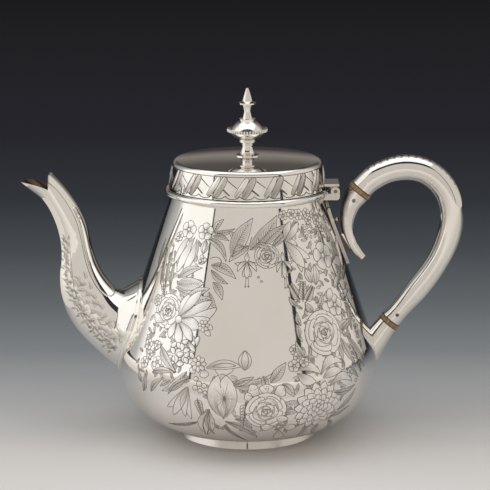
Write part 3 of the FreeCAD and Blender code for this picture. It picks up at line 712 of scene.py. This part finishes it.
# Below the panel: a bindweed trumpet, a curled petal, a closed bud, a full rose and a pansy.
trailing_leaves = [
    ((225, 421.5), (257, 437.5), 4, 0.1), ((224, 426), (246, 440), 2, -0.05),
    ((235, 419), (252, 428), 3, 0.15), ((228, 382), (273, 373), 5, -0.16), ((233, 386), (254, 377), 3),
]
engrave(wreath.leaf, trailing_leaves)
bindweed = [((222, 396.5), 7.2, 10.6)]
engrave(wreath.trumpet, bindweed)
curled_petal = [
    ((220, 384), (224, 364), 10, 0, 0.8), ((206, 368), (241, 366.5), 4.5, 0.08, 0.5),
    ((212, 367), (236, 366), 2, 0.06, 0.5),
]
engrave(wreath.petal, curled_petal)
petal_stalk = [((220, 384), (221, 388))]
engrave(wreath.stem, petal_stalk)
closed_bud = [((245, 370.5), (245, 350.5), 6.5)]
engrave(wreath.bud, closed_bud)
rose_leaves = [
    ((270.5, 383), (286, 362.5), 5), ((263, 376), (268, 391), 3.5), ((282, 384), (294, 397), 4, 0.1),
]
engrave(wreath.leaf, rose_leaves)
rose_frond = [((246, 402), (243, 427), 5)]
engrave(wreath.fern, rose_frond)
rose_petals = [
    ((262, 396), (250, 385), 6, 0.15, 0.66), ((272, 396), (284, 386), 6, -0.15, 0.66),
    ((266, 398), (267, 384), 7, 0, 0.68), ((254, 402), (246, 393), 4, 0.1, 0.66),
]
engrave(wreath.petal, rose_petals)
pansy_leaves = [((283, 409.5), (295.5, 400.5), 3.5, 0.05), ((285, 412), (297, 412), 3)]
engrave(wreath.leaf, pansy_leaves)
full_rose = [((266, 411.5), 10, 8)]
engrave(wreath.rose, full_rose)
pansy = [
    ((279, 424), (284, 415.5), 6, 0, 0.68), ((276, 427), (261, 427.5), 5, 0, 0.68),
    ((281, 426), (295, 428), 5, 0, 0.68), ((278, 429), (277.5, 438.5), 5, 0, 0.68),
]
engrave(wreath.petal, pansy)
pansy_heart = [((278.5, 426.5), 1.1)]
engrave(wreath.berry, pansy_heart)
# Right side of the belly: a dahlia, scrolled petals, a cabbage rose and thistle leaves.
dahlia_leaves = [
    ((337, 410), (355.5, 388), 3.5, -0.08), ((330, 416), (349, 405), 3, -0.08),
    ((305, 425), (296, 436), 3, 0.1), ((318, 424), (309, 437), 3, -0.1),
    ((328, 420), (324, 434), 2.5, 0.1),
]
engrave(wreath.leaf, dahlia_leaves)
dahlia_daisy = [((303, 420), 3.5, 8, 0)]
engrave(wreath.daisy, dahlia_daisy)
great_dahlia = [((318, 405.5), 13)]
engrave(wreath.dahlia, great_dahlia)
scrolled_petals = [
    ((297, 371), (321, 374), 4, 0.22, 0.5), ((297, 373), (316, 382), 5, -0.1, 0.55),
    ((321, 375), (343, 362), 4.5, 0.28, 0.5), ((323, 378), (342, 370), 4.5, 0.1, 0.5),
    ((330, 386), (352, 381), 4, 0.25, 0.5),
]
engrave(wreath.petal, scrolled_petals)
thistle_leaves = [
    ((334, 392), (355, 384), 3, -0.1), ((337, 341), (343, 361), 3, 0.08),
    ((341, 338), (355, 363), 4, -0.05), ((347, 336), (364, 366), 4, 0.05),
    ((333, 342), (334, 358), 2.5, 0.05),
]
engrave(wreath.leaf, thistle_leaves)
thistle_frond = [((352, 345), (361, 372), 3.5)]
engrave(wreath.fern, thistle_frond)
thistle_tip = [((346, 369), (358, 377), 2.5, 0.1)]
engrave(wreath.leaf, thistle_tip)
thistle_blossom = [((350, 372), 2.2, 5, 0)]
engrave(wreath.blossom, thistle_blossom)
thistle_berry = [((356, 380), 1)]
engrave(wreath.berry, thistle_berry)
panel_blossoms = [((294.5, 350), 2.5, 5, 20), ((298, 357), 2.5, 5, 50), ((294, 366), 3, 5, 5)]
engrave(wreath.blossom, panel_blossoms)
panel_berry = [((303, 352), 1)]
engrave(wreath.berry, panel_berry)
inner_blossom = [((304, 362), 2.5, 5, 30)]
engrave(wreath.blossom, inner_blossom)
cabbage_leaves = [
    ((305, 358), (296, 341), 3, 0.1), ((299, 338), (296, 324), 2.5, -0.1),
    ((301, 326), (297, 312), 2.5, 0.1), ((335, 339), (347, 318.5), 4.5, 0.08),
    ((341, 330), (352, 316), 3),
]
engrave(wreath.leaf, cabbage_leaves)
cabbage_petals = [((316, 345), (305, 331), 4.5, -0.2, 0.6), ((318, 350), (312, 355), 4.5, 0, 0.6)]
engrave(wreath.petal, cabbage_petals)
cabbage_rose = [((324, 332.5), 11, 30)]
engrave(wreath.rose, cabbage_rose)
# Right shoulder: ferns, a lily, fuchsias on their stalks, leaves and a spray of small blossoms.
briar = [((335, 305), 5.5, 5, 10)]
engrave(wreath.blossom, briar)
briar_petal = [((342, 300), (347, 290), 3.5, 0.1)]
engrave(wreath.petal, briar_petal)
briar_frond = [((349, 318), (343, 290), 3)]
engrave(wreath.fern, briar_frond)
briar_blade = [((352, 330), (348, 300), 2.5, 0.08)]
engrave(wreath.leaf, briar_blade)
three_ferns = [((300, 300), (290, 284), 5), ((303, 302), (303, 281), 5), ((306, 302), (313, 286), 4.5)]
engrave(wreath.fern, three_ferns)
fern_leaves = [
    ((314, 312), (305, 302), 3.5, 0.1), ((318, 308), (322, 292), 3, -0.1),
    ((297, 306), (289, 297), 2.5, 0.1),
]
engrave(wreath.leaf, fern_leaves)
tall_petals = [((329, 302), (330, 288), 4.5, 0, 0.55), ((334, 288), (339, 276), 4, 0.05, 0.55)]
engrave(wreath.petal, tall_petals)
twin_buds = [((316, 285), (314, 264), 4), ((312, 283), (305, 268), 3.5)]
engrave(wreath.bud, twin_buds)
edge_blades = [
    ((337, 290), (341, 262), 2.5, 0.06), ((331, 262), (335, 238), 2.5, -0.06),
    ((343, 280), (345, 262), 2, 0.04),
]
engrave(wreath.leaf, edge_blades)
wild_rose = [((323, 255.5), 7, 5, 95)]
engrave(wreath.blossom, wild_rose)
spray_blossoms = [
    ((283, 215.5), 2.5, 6, 10), ((291, 214), 2.5, 5, 40), ((298, 214.5), 2.8, 6, 0),
    ((306, 213), 2.5, 5, 20), ((313, 214.5), 2.5, 6, 15), ((316, 220.5), 2.5, 5, 0),
    ((308, 220), 2.2, 5, 30), ((321, 227), 2.5, 5, 0), ((326, 219), 2.2, 5, 0),
]
engrave(wreath.blossom, spray_blossoms)
spray_berries = [
    ((303, 226), 0.8), ((307, 227.5), 0.8), ((311, 226.5), 0.8), ((305, 231), 0.8), ((309, 232), 0.8),
    ((313, 231), 0.8), ((307, 236), 0.8), ((311, 237), 0.8), ((315, 236), 0.8), ((318, 233), 0.8),
]
engrave(wreath.berry, spray_berries)
broad_leaves = [
    ((249, 246), (229, 262), 4.5, -0.1), ((244, 240), (229, 231), 3.5, 0.1),
    ((232, 257), (253, 218), 7.5, 0.06), ((250, 250), (277, 215), 7.5, -0.05),
    ((262, 246), (287, 224), 4.5, 0.05), ((271, 248), (290, 228.5), 3),
]
engrave(wreath.leaf, broad_leaves)
right_lily = [
    ((284.5, 240), (290, 221.5), 3.5, 0.06, 0.55), ((285, 240), (298, 222), 3.5, -0.05, 0.55),
    ((286, 242), (297, 245), 3, 0.1, 0.5), ((284, 241), (302, 272), 4, 0.12, 0.6),
    ((285, 240), (310, 258), 4.5, -0.06, 0.6), ((284, 240), (304.5, 267.5), 5.5, 0.02, 0.6),
]
engrave(wreath.petal, right_lily)
fuchsia_stalks = [((252, 237), (249, 246), (247, 255)), ((258, 238), (262, 246), (264, 250))]
engrave(wreath.stem, fuchsia_stalks)
left_fuchsia = [((247, 253), (247, 279), 5.5)]
engrave(wreath.fuchsia, left_fuchsia)
small_rose = [((267, 256), 6, 20)]
engrave(wreath.rose, small_rose)
right_fuchsia = [((282, 252), (279, 280), 4.5)]
engrave(wreath.fuchsia, right_fuchsia)
stalk_leaves = [((256, 244), (270, 250), 2.5, 0.1), ((244, 246), (234, 252), 2.5, -0.1)]
engrave(wreath.leaf, stalk_leaves)
fallen_berries = [((258.5, 277.5), 0.5), ((261.5, 281.5), 0.5)]
engrave(wreath.berry, fallen_berries)
wreath.piece("wreath_front", "pot")
wreath.piece("wreath_back", "pot", lambda x, y, z: (-x, -y, z))


# Foot seam: the foot is a strip of silver bent to a ring, and its soldered joint shows at the front.
# It is a short dark nick, drawn as one cut on the ring's sloping side.
foot_radius = 34.8
foot_taper = 0.3
seam_radius = 34.0
seam_low = 0.2
seam_high = 2.9


def tapered(low, radius, taper):
    """The surface of a round piece with this radius at its low edge, which narrows upwards."""
    def surface(turn, height, lift):
        reach = radius - taper * (height - low) + lift
        return reach * math.sin(turn), -reach * math.cos(turn), height
    return surface


on_foot = tapered(0.0, foot_radius, foot_taper)
foot_seam = Engraving(on_foot, lambda turn, height: (seam_radius, 1.0), cell=(0.02, 0.8), step=0.8)
foot_seam.stroke([(0.0, seam_low), (0.0, seam_high)], widths=[0.8, 0.7], lift=0.02)
foot_seam.piece("foot_seam", "pot")


# Spout: a swan neck of sheet silver, soldered to a flange on the pot, with a pierced strainer behind it.
# Engraved sprigs run up both its sides from the flange; the end of the neck and the lip are plain.
dress(bright_silver, "spout_root", "spout_collar", "strainer_plate")
stain_start = -96.5 * mm
stain_full = -98.5 * mm


def tea_stain(wire):
    """The trough inside the lip, which faces up and is brown with tea."""
    upward = wire.place("Normal").part("Z").within(0.02, 0.25)
    return upward * wire.place().part("X").within(stain_start, stain_full)


beak_silver = polished_silver("beak_silver", **bright, darkened=tea_stain, stain_or_shade_colour=(0.09, 0.06, 0.04))
dress(beak_silver, "spout_beak")


def wall_of(*names):
    """A searchable copy of the faces of some pieces, in millimetres."""
    corners = []
    faces = []
    for name in names:
        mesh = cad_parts[name].data
        first = len(corners)
        corners.extend(vertex.co / mm for vertex in mesh.vertices)
        faces.extend([first + k for k in face.vertices] for face in mesh.polygons)
    return BVHTree.FromPolygons(corners, faces)


spout_wall = wall_of("spout_root", "spout_beak")
clear_of_wall = 60.0
spout_side = 6.0


def touch(wall, start, way, beside, lift):
    """The point over a wall that is met from a start along a way, or else the one nearest to beside."""
    point, normal, _, _ = wall.ray_cast(start, way, clear_of_wall)
    if point is None:
        point, normal, _, _ = wall.find_nearest(beside)
    return tuple(point + normal * lift)


def on_spout(across, height, lift):
    """A point over the front side of the spout."""
    start = Vector((across, -clear_of_wall, height))
    return touch(spout_wall, start, Vector((0.0, 1.0, 0.0)), Vector((across, -spout_side, height)), lift)


scroll = Engraving(
    on_spout, lambda across, height: (1.0, 1.0), cell=(0.6, 0.6), step=0.4, cut=Engraving.soft)
# Three lines from the neck down to the flange: along the outer and the inner bend, and a crease between.
outer_run = [
    (-90.3, 99.0), (-90.8, 90.0), (-90.2, 80.0), (-88.4, 72.0),
    (-84.4, 63.0), (-78.2, 54.5), (-70.4, 46.0), (-66.0, 42.5),
]
inner_run = [
    (-84.0, 100.0), (-82.6, 90.0), (-79.4, 80.0), (-75.4, 72.0),
    (-70.4, 65.0), (-65.6, 60.0), (-61.8, 55.0), (-60.4, 49.5),
]
crease = [
    (-87.4, 98.0), (-86.6, 86.0), (-85.4, 75.0), (-83.1, 67.8),
    (-79.8, 60.7), (-73.0, 52.5), (-65.5, 46.0),
]
scroll.stroke(crease, widths=[0.1, 0.2, 0.26, 0.26, 0.26, 0.26, 0.12], lift=0.045)
# Each run of sprigs: its share of the way from the outer bend to the inner one, the point where it starts,
# and the length of its sprigs and their distance.
sprig_runs = [
    (0.04, 0, 2.6, 1.9), (0.17, 0, 2.6, 1.9), (0.30, 0, 2.6, 1.9),
    (0.47, 2, 4.0, 2.9), (0.69, 2, 4.0, 2.9), (0.92, 2, 4.0, 2.9),
]
for share, first, length, spacing in sprig_runs:
    line = [part_way(share, *pair) for pair in zip(outer_run, inner_run)]
    stagger = 0.5 + 0.4 * math.sin(23.0 * share)
    for k, (high, low) in enumerate(zip(line[first:], line[first + 1:])):
        upward = math.atan2(high[1] - low[1], high[0] - low[0])
        steps = max(1, round(math.dist(high, low) / spacing))
        for j in range(steps):
            base = part_way((j + stagger) / steps, low, high)
            sway = 0.8 * math.sin(2.9 * j + 4.3 * k + 19.0 * share)
            scroll.sprig(base, upward + sway, length)
scroll.piece("spout_scroll_front", "pot")
scroll.piece("spout_scroll_back", "pot", lambda x, y, z: (x, -y, z), mirrored=True)


# Lid: a shallow drum of sheet silver with a rounded shoulder, and a bezel that drops into the mouth.
# A twisted ribbon is chased round its side over a scalloped line.
dress(bright_silver, "lid_shell", "lid_bezel")
lid_low = 124.6
lid_radius = 38.6
lid_taper = 1.6 / 11.0
band_low = 124.9
band_radius = 38.0
band_links = 17
panel_corners = [(8.9, 5.0), (12.2, 2.3), (15.4, 6.0), (11.5, 8.9)]
panel_steps = 6
link_length = 14.05
top_line = 10.75
scallop_start = 3.4
scallop_length = 7.03
scallop_height = 1.75
scallop_depth = 1.45
on_lid = tapered(lid_low, lid_radius, lid_taper)
ribbon = Engraving(on_lid, lambda turn, height: (band_radius, 1.0), cell=(0.02, 0.8), step=0.6)


def cut_link(start):
    """One link of the band: a frosted panel between two cuts, two folds and the lines that border them."""
    def mark_at(right, up):
        return start + right / band_radius, band_low + up

    left, low, right, high = [mark_at(*corner) for corner in panel_corners]
    shares = [k / panel_steps for k in range(panel_steps + 1)]
    panel = []
    for down in shares:
        ends = part_way(down, left, low), part_way(down, high, right)
        panel.append([(*part_way(over, *ends), (0.7, 2 * over - 1)) for over in shares])
    ribbon.sheet(panel, ribbon.frost, lift=0.02)
    ribbon.stroke([high, right, mark_at(16.6, 5.2)], widths=[0.5, 0.36, 0.12], lift=0.03)
    under = [mark_at(8.4, 5.4), left, low, mark_at(12.9, 1.8)]
    ribbon.stroke(under, widths=[0.3, 0.9, 0.75, 0.1], lift=0.03)
    fold = {"bend": -0.02, "full": 0.5, "blunt": 0.2}
    ribbon.petal(mark_at(1.3, 1.3), mark_at(7.2, 10.5), 2.5, **fold, rim=0.5, finish=ribbon.frost, rise=0.35)
    ribbon.petal(mark_at(5.0, 0.9), mark_at(10.4, 10.5), 3.1, **fold, rim=0.6, finish=ribbon.shade, rise=0.4)
    shares = [k / 8 for k in range(9)]
    dips = [scallop_depth * abs(math.sin(math.pi * share)) ** 0.6 for share in shares]
    for half in (0, 1):
        overs = [scallop_start + scallop_length * (half + share) for share in shares]
        scallop = [mark_at(over, scallop_height - dip) for over, dip in zip(overs, dips)]
        ribbon.stroke(scallop, [0.4] * len(scallop), lift=0.05)
    border = [mark_at(link_length * share, top_line) for share in shares]
    ribbon.stroke(border, [0.34] * len(border), lift=0.05)


for k in range(band_links):
    cut_link(2 * math.pi * (k - 0.5) / band_links)
ribbon.piece("lid_ribbon", "lid")


# Hinge: two silver leaves with interleaved knuckles on one pin, soldered to the mouth and to the lid.
# Its leaves are given a darker, greyer silver than the pot.
greyer = {"light": (0.72, 0.685, 0.635), "dull": (0.48, 0.45, 0.41), "gloss": 0.1, "haze": 0.24}
rivet = {"light": (0.34, 0.30, 0.26), "dull": (0.13, 0.11, 0.095), "gloss": 0.16, "haze": 0.3}
greyer_silver = polished_silver("greyer_silver", **greyer)
dress(greyer_silver, "hinge_body_leaf", "hinge_lid_leaf")
rivet_silver = polished_silver("rivet_silver", **rivet)
dress(rivet_silver, "hinge_pin")


# Finial: a stem with a bowl, a dome and a pointed spire, turned in silver and held by a stud and a nut.
# A row of small beads is milled under the lip of the bowl, over a dark groove.
turned = {"light": (0.93, 0.90, 0.85), "dull": (0.85, 0.82, 0.77), "gloss": 0.1, "haze": 0.18}
turned_silver = polished_silver("turned_silver", **turned)
dress(turned_silver, "finial_foot", "finial_bowl", "finial_dome", "finial_spire")
dress(turned_silver, "finial_stud", "finial_nut")
bead_count = 44
bead_ring = 9.45
bead_height = 152.35
bead_radius = 0.62
bead_stretch = (0.85, 1.0, 1.25)
groove = [(9.06, 151.5), (9.6, 152.95)]
bead_place = (0.0, -mm * bead_ring, mm * bead_height)
bpy.ops.object.select_all(action="DESELECT")
bpy.ops.mesh.primitive_uv_sphere_add(segments=8, ring_count=5, radius=mm * bead_radius, location=bead_place)
bead = bpy.context.object
bpy.ops.object.mode_set(mode="EDIT")
bpy.ops.mesh.select_all(action="SELECT")
bpy.ops.transform.resize(value=bead_stretch)
bpy.ops.object.mode_set(mode="OBJECT")
bpy.ops.object.transform_apply(location=True, rotation=True, scale=True)
# Blender gives the sphere's faces in another order at each run, so they are sorted.
bead_pattern = sorted(tuple(face.vertices) for face in bead.data.polygons)
corners = []
faces = []
for k in range(bead_count):
    turn = 2 * math.pi * k / bead_count
    first = len(corners)
    for vertex in bead.data.vertices:
        x, y, z = vertex.co
        turned_x = x * math.cos(turn) - y * math.sin(turn)
        turned_y = x * math.sin(turn) + y * math.cos(turn)
        corners.append((turned_x, turned_y, z))
    faces.extend([first + v for v in face] for face in bead_pattern)
bead_faces = len(faces)
groove_first = len(corners)
groove_steps = 2 * bead_count
for k in range(groove_steps):
    turn = 2 * math.pi * k / groove_steps
    for reach, height in groove:
        corners.append((mm * reach * math.sin(turn), -mm * reach * math.cos(turn), mm * height))
    here = groove_first + 2 * k
    after = groove_first + 2 * ((k + 1) % groove_steps)
    faces.append((here, after, after + 1, here + 1))
bead.data.clear_geometry()
bead.data.from_pydata(corners, [], faces)
bead.data.polygons.foreach_set("use_smooth", [True] * len(faces))
bead.data.materials.append(turned_silver)
bead.data.materials.append(dark_cut)
bead.data.polygons.foreach_set("material_index", [0] * bead_faces + [1] * groove_steps)
bead.name = "finial_beads"
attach(bead, "lid")


# Handle mounts: a leaf plate with a bead on the neck, a horn-shaped socket under it, and a flared lower
# socket. They are cast in silver, soldered to the pot, and pinned to the insulators with small rivets.
handled = {"light": (0.90, 0.87, 0.835), "dull": (0.80, 0.765, 0.72), "gloss": 0.06, "haze": 0.14}
handled_silver = polished_silver("handled_silver", **handled)
dress(greyer_silver, "leaf_plate", "leaf_bead")
dress(handled_silver, "lower_socket")
web_out = 48.2 * mm
web_height = 97.8 * mm
web_slant = 0.62


def horn_painted_shade(wire):
    """Painted shade on the side of the horn that faces the pot, and on the web behind it."""
    place = wire.place()
    past = place.part("X") - web_out + (place.part("Z") - web_height) * web_slant
    web = past.within(0.2 * mm, -0.4 * mm)
    inward = wire.place("Normal").part("X").within(-0.4, -0.8)
    return web.maths("MAXIMUM", web, inward * 0.85)


# The horn's silver carries painted shade where it faces the pot and on the web behind it.
dress(polished_silver("horn_silver", **handled, darkened=horn_painted_shade), "upper_socket")
dress(rivet_silver, "upper_socket_pin", "lower_handle_pin", "lower_socket_pin")
dress(handled_silver, "upper_handle_pin")


# Insulators: two turned rings of ivory that keep the heat of the pot from the hand.
# The grain runs along the handle, and the joints with the silver are dark with old polish.
def ivory(name, middle, angle):
    """Yellowed ivory, grained along a direction and dark at both faces of the ring."""
    clean = (0.47, 0.29, 0.125)
    darkened = (0.055, 0.028, 0.012)
    finish, shader, wire = new_finish(name)
    shader.inputs["Metallic"].default_value = 0.0
    place = wire.place()
    out = place.part("X") - mm * middle[0]
    up = place.part("Z") - mm * middle[1]
    run = out * math.cos(angle) + up * math.sin(angle)
    side = up * math.cos(angle) - out * math.sin(angle)
    across = place.part("Y")
    rows = wire.node("ShaderNodeCombineXYZ", 0, None, {0: run * 150.0, 1: side * 1500.0, 2: across * 1500.0})
    grain = rows.noise(1.0, 3.0)
    edge = run.maths("ABSOLUTE", run).within(0.8 * mm, 1.2 * mm)
    dark = grain.within(0.38, 0.6) * 0.7 + edge
    feed(finish, shader, {
        "Base Color": dark.blend(clean, darkened),
        "Roughness": grain * 0.2 + 0.3,
        "Normal": grain.bump(0.3, 0.2 * mm),
    })
    return finish


dress(ivory("upper_ivory", middle=(55.6, 122.3), angle=math.radians(51.0)), "upper_insulator")
dress(ivory("lower_ivory", middle=(71.0, 55.8), angle=math.radians(231.0)), "lower_insulator")


# Handle: a hollow loop of drawn silver, worn soft by hands.
# A line of laurel leaves is chased along the top of its outer side, from the upper ring past the crown.
dress(handled_silver, "handle")
handle_wall = wall_of("handle")
loop_middle = Vector((78.0, 0.0, 110.0))
loop_reach = 29.0
laurel_pairs = 15
laurel_start = math.radians(136.0)
laurel_gap = math.radians(6.8)
laurel_slant = 0.13


def on_ridge(turn, across, lift):
    """A point over the outer side of the handle, turned up from the back."""
    out = Vector((math.cos(turn), 0.0, math.sin(turn)))
    start = loop_middle + clear_of_wall * out + Vector((0.0, -across, 0.0))
    return touch(handle_wall, start, -out, start, lift)


laurel = Engraving(on_ridge, lambda turn, across: (loop_reach, 1.0), cell=(0.03, 0.8), step=0.4)
for k in range(laurel_pairs):
    turn = laurel_start - laurel_gap * k
    for side in (1, -1):
        base = (turn, 0.2 * side)
        tip = (turn - laurel_slant, 3.2 * side)
        laurel.petal(base, tip, 2.0, 0.1 * side, full=0.5, blunt=0.8, finish=laurel.shade)
laurel.piece("handle_laurel", "pot")


# Stage: a pale sheet of paper, painted with shade that darkens it towards the back, inside a light tent of
# cloth walls.
# The walls and the roof light the silver and are only seen in it.
def tent_wall(name, low, high, axis, glow, tint):
    """One glowing wall between two corners; glow says how strongly it shines at shares of its run."""
    bpy.ops.object.select_all(action="DESELECT")
    bpy.ops.mesh.primitive_plane_add(size=1.0)
    wall = bpy.context.object
    wall.name = name
    across, up = [way for way in range(3) if low[way] != high[way]]
    for vertex in wall.data.vertices:
        corner = list(low)
        corner[across] += (vertex.co.x + 0.5) * (high[across] - low[across])
        corner[up] += (vertex.co.y + 0.5) * (high[up] - low[up])
        vertex.co = corner
    cloth = bpy.data.materials.new(name)
    cloth.use_nodes = True
    cloth.node_tree.nodes.remove(cloth.node_tree.nodes["Principled BSDF"])
    wire = Wire(cloth.node_tree)
    rise = wire.place().part("XYZ"[axis]).within(low[axis], high[axis])
    peak = max(strength for _, strength in glow)
    stops = [(share, [strength / peak * v for v in tint]) for share, strength in glow]
    shade = wire.node("ShaderNodeValToRGB", 0, {"stops": stops}, {0: rise})
    light = wire.node("ShaderNodeEmission", 0, None, {"Color": shade, "Strength": peak})
    cloth.node_tree.links.new(light.socket, cloth.node_tree.nodes["Material Output"].inputs["Surface"])
    wall.data.materials.append(cloth)
    wall.visible_camera = False
    wall.visible_shadow = False
    wall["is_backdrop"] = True
    return wall


x_run, y_run, z_run = range(3)
cream = (1.0, 0.945, 0.878)
white = (1.0, 0.99, 0.96)
pure = (1.0, 1.0, 1.0)
warm = (1.0, 0.91, 0.83)
front_glow = [(0.0, 0.64), (1.0, 0.66)]
left_glow = [(0.0, 1.05), (0.43, 1.1), (0.52, 0.5), (0.75, 0.26), (1.0, 0.12)]
right_glow = [(0.0, 0.7), (0.5, 0.7), (0.58, 0.4), (0.8, 0.22), (1.0, 0.1)]
roof_glow = [(0.0, 1.35), (0.55, 1.35), (0.8, 0.6), (1.0, 0.2)]
back_glow = [(0.0, 0.05), (0.1, 0.05), (0.2, 0.24), (0.32, 0.09), (1.0, 0.02)]
front_card_glow = [(0.0, 0.88), (0.7, 0.84), (1.0, 0.6)]
left_card_glow = [(0.0, 1.05), (0.8, 0.95), (1.0, 0.65)]
tent_wall("tent_front", (-1.45, -1.25, 0.0), (1.40, -1.25, 1.35), z_run, front_glow, cream)
tent_wall("tent_left", (-1.5, -1.2, 0.0), (-1.5, 2.6, 2.0), y_run, left_glow, white)
tent_wall("tent_right", (1.5, -1.15, 0.0), (1.5, 2.6, 2.0), y_run, right_glow, cream)
tent_wall("tent_roof", (-1.5, -0.95, 2.0), (1.5, 1.6, 2.0), y_run, roof_glow, pure)
tent_wall("tent_back", (-2.6, 2.7, 0.0), (2.6, 2.7, 3.0), z_run, back_glow, warm)
cards = [
    tent_wall("front_card", (-1.45, -1.25, 0.001), (1.4, -0.11, 0.001), y_run, front_card_glow, cream),
    tent_wall("left_card", (-1.5, -0.11, 0.001), (-0.2, 0.35, 0.001), x_run, left_card_glow, cream),
]
for card in cards:
    card.visible_diffuse = False

bpy.ops.object.select_all(action="DESELECT")
bpy.ops.mesh.primitive_plane_add(size=12.0, location=(0, 0, 0))
table = bpy.context.object
table.name = "table"
paper, shader, wire = new_finish("paper_painted_dark_behind")
shader.inputs["Metallic"].default_value = 0.0
shader.inputs["Roughness"].default_value = 0.9
shader.inputs["Specular IOR Level"].default_value = 0.0
# The paper's colour is painted shade: pale in front of the pot and nearly black at the back, where the light
# falls off.
fade_start = -0.3
fade_end = 1.7
paper_painted_shade = [
    (0.08, (0.93, 0.905, 0.88)), (0.132, (0.80, 0.78, 0.765)), (0.174, (0.50, 0.51, 0.515)),
    (0.223, (0.286, 0.305, 0.325)), (0.28, (0.17, 0.187, 0.204)), (0.352, (0.092, 0.104, 0.116)),
    (0.44, (0.049, 0.055, 0.067)), (0.6, (0.033, 0.033, 0.044)), (1.0, (0.037, 0.037, 0.043)),
]
fade = wire.place().part("Y").within(fade_start, fade_end)
feed(paper, shader, {"Base Color": wire.node("ShaderNodeValToRGB", 0, {"stops": paper_painted_shade}, {0: fade})})
table.data.materials.append(paper)
table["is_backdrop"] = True

studio = bpy.data.worlds.new("studio")
bpy.context.scene.world = studio
studio.use_nodes = True
studio.node_tree.nodes["Background"].inputs["Color"].default_value = (0.03, 0.031, 0.036, 1.0)

camera = bpy.data.cameras.new("camera")
camera.lens = camera.sensor_width * focus / picture_width
camera.clip_end = 50.0
viewer = bpy.data.objects.new("camera", camera)
bpy.context.scene.collection.objects.link(viewer)
viewer.location = mm * eye
viewer.rotation_euler = (math.pi / 2 - pitch, 0.0, 0.0)
bpy.context.scene.camera = viewer
bpy.context.scene.view_settings.view_transform = "Standard"

low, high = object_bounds()
{"cad": [list(cad_low), list(cad_high)], "visual": [list(low), list(high)]}
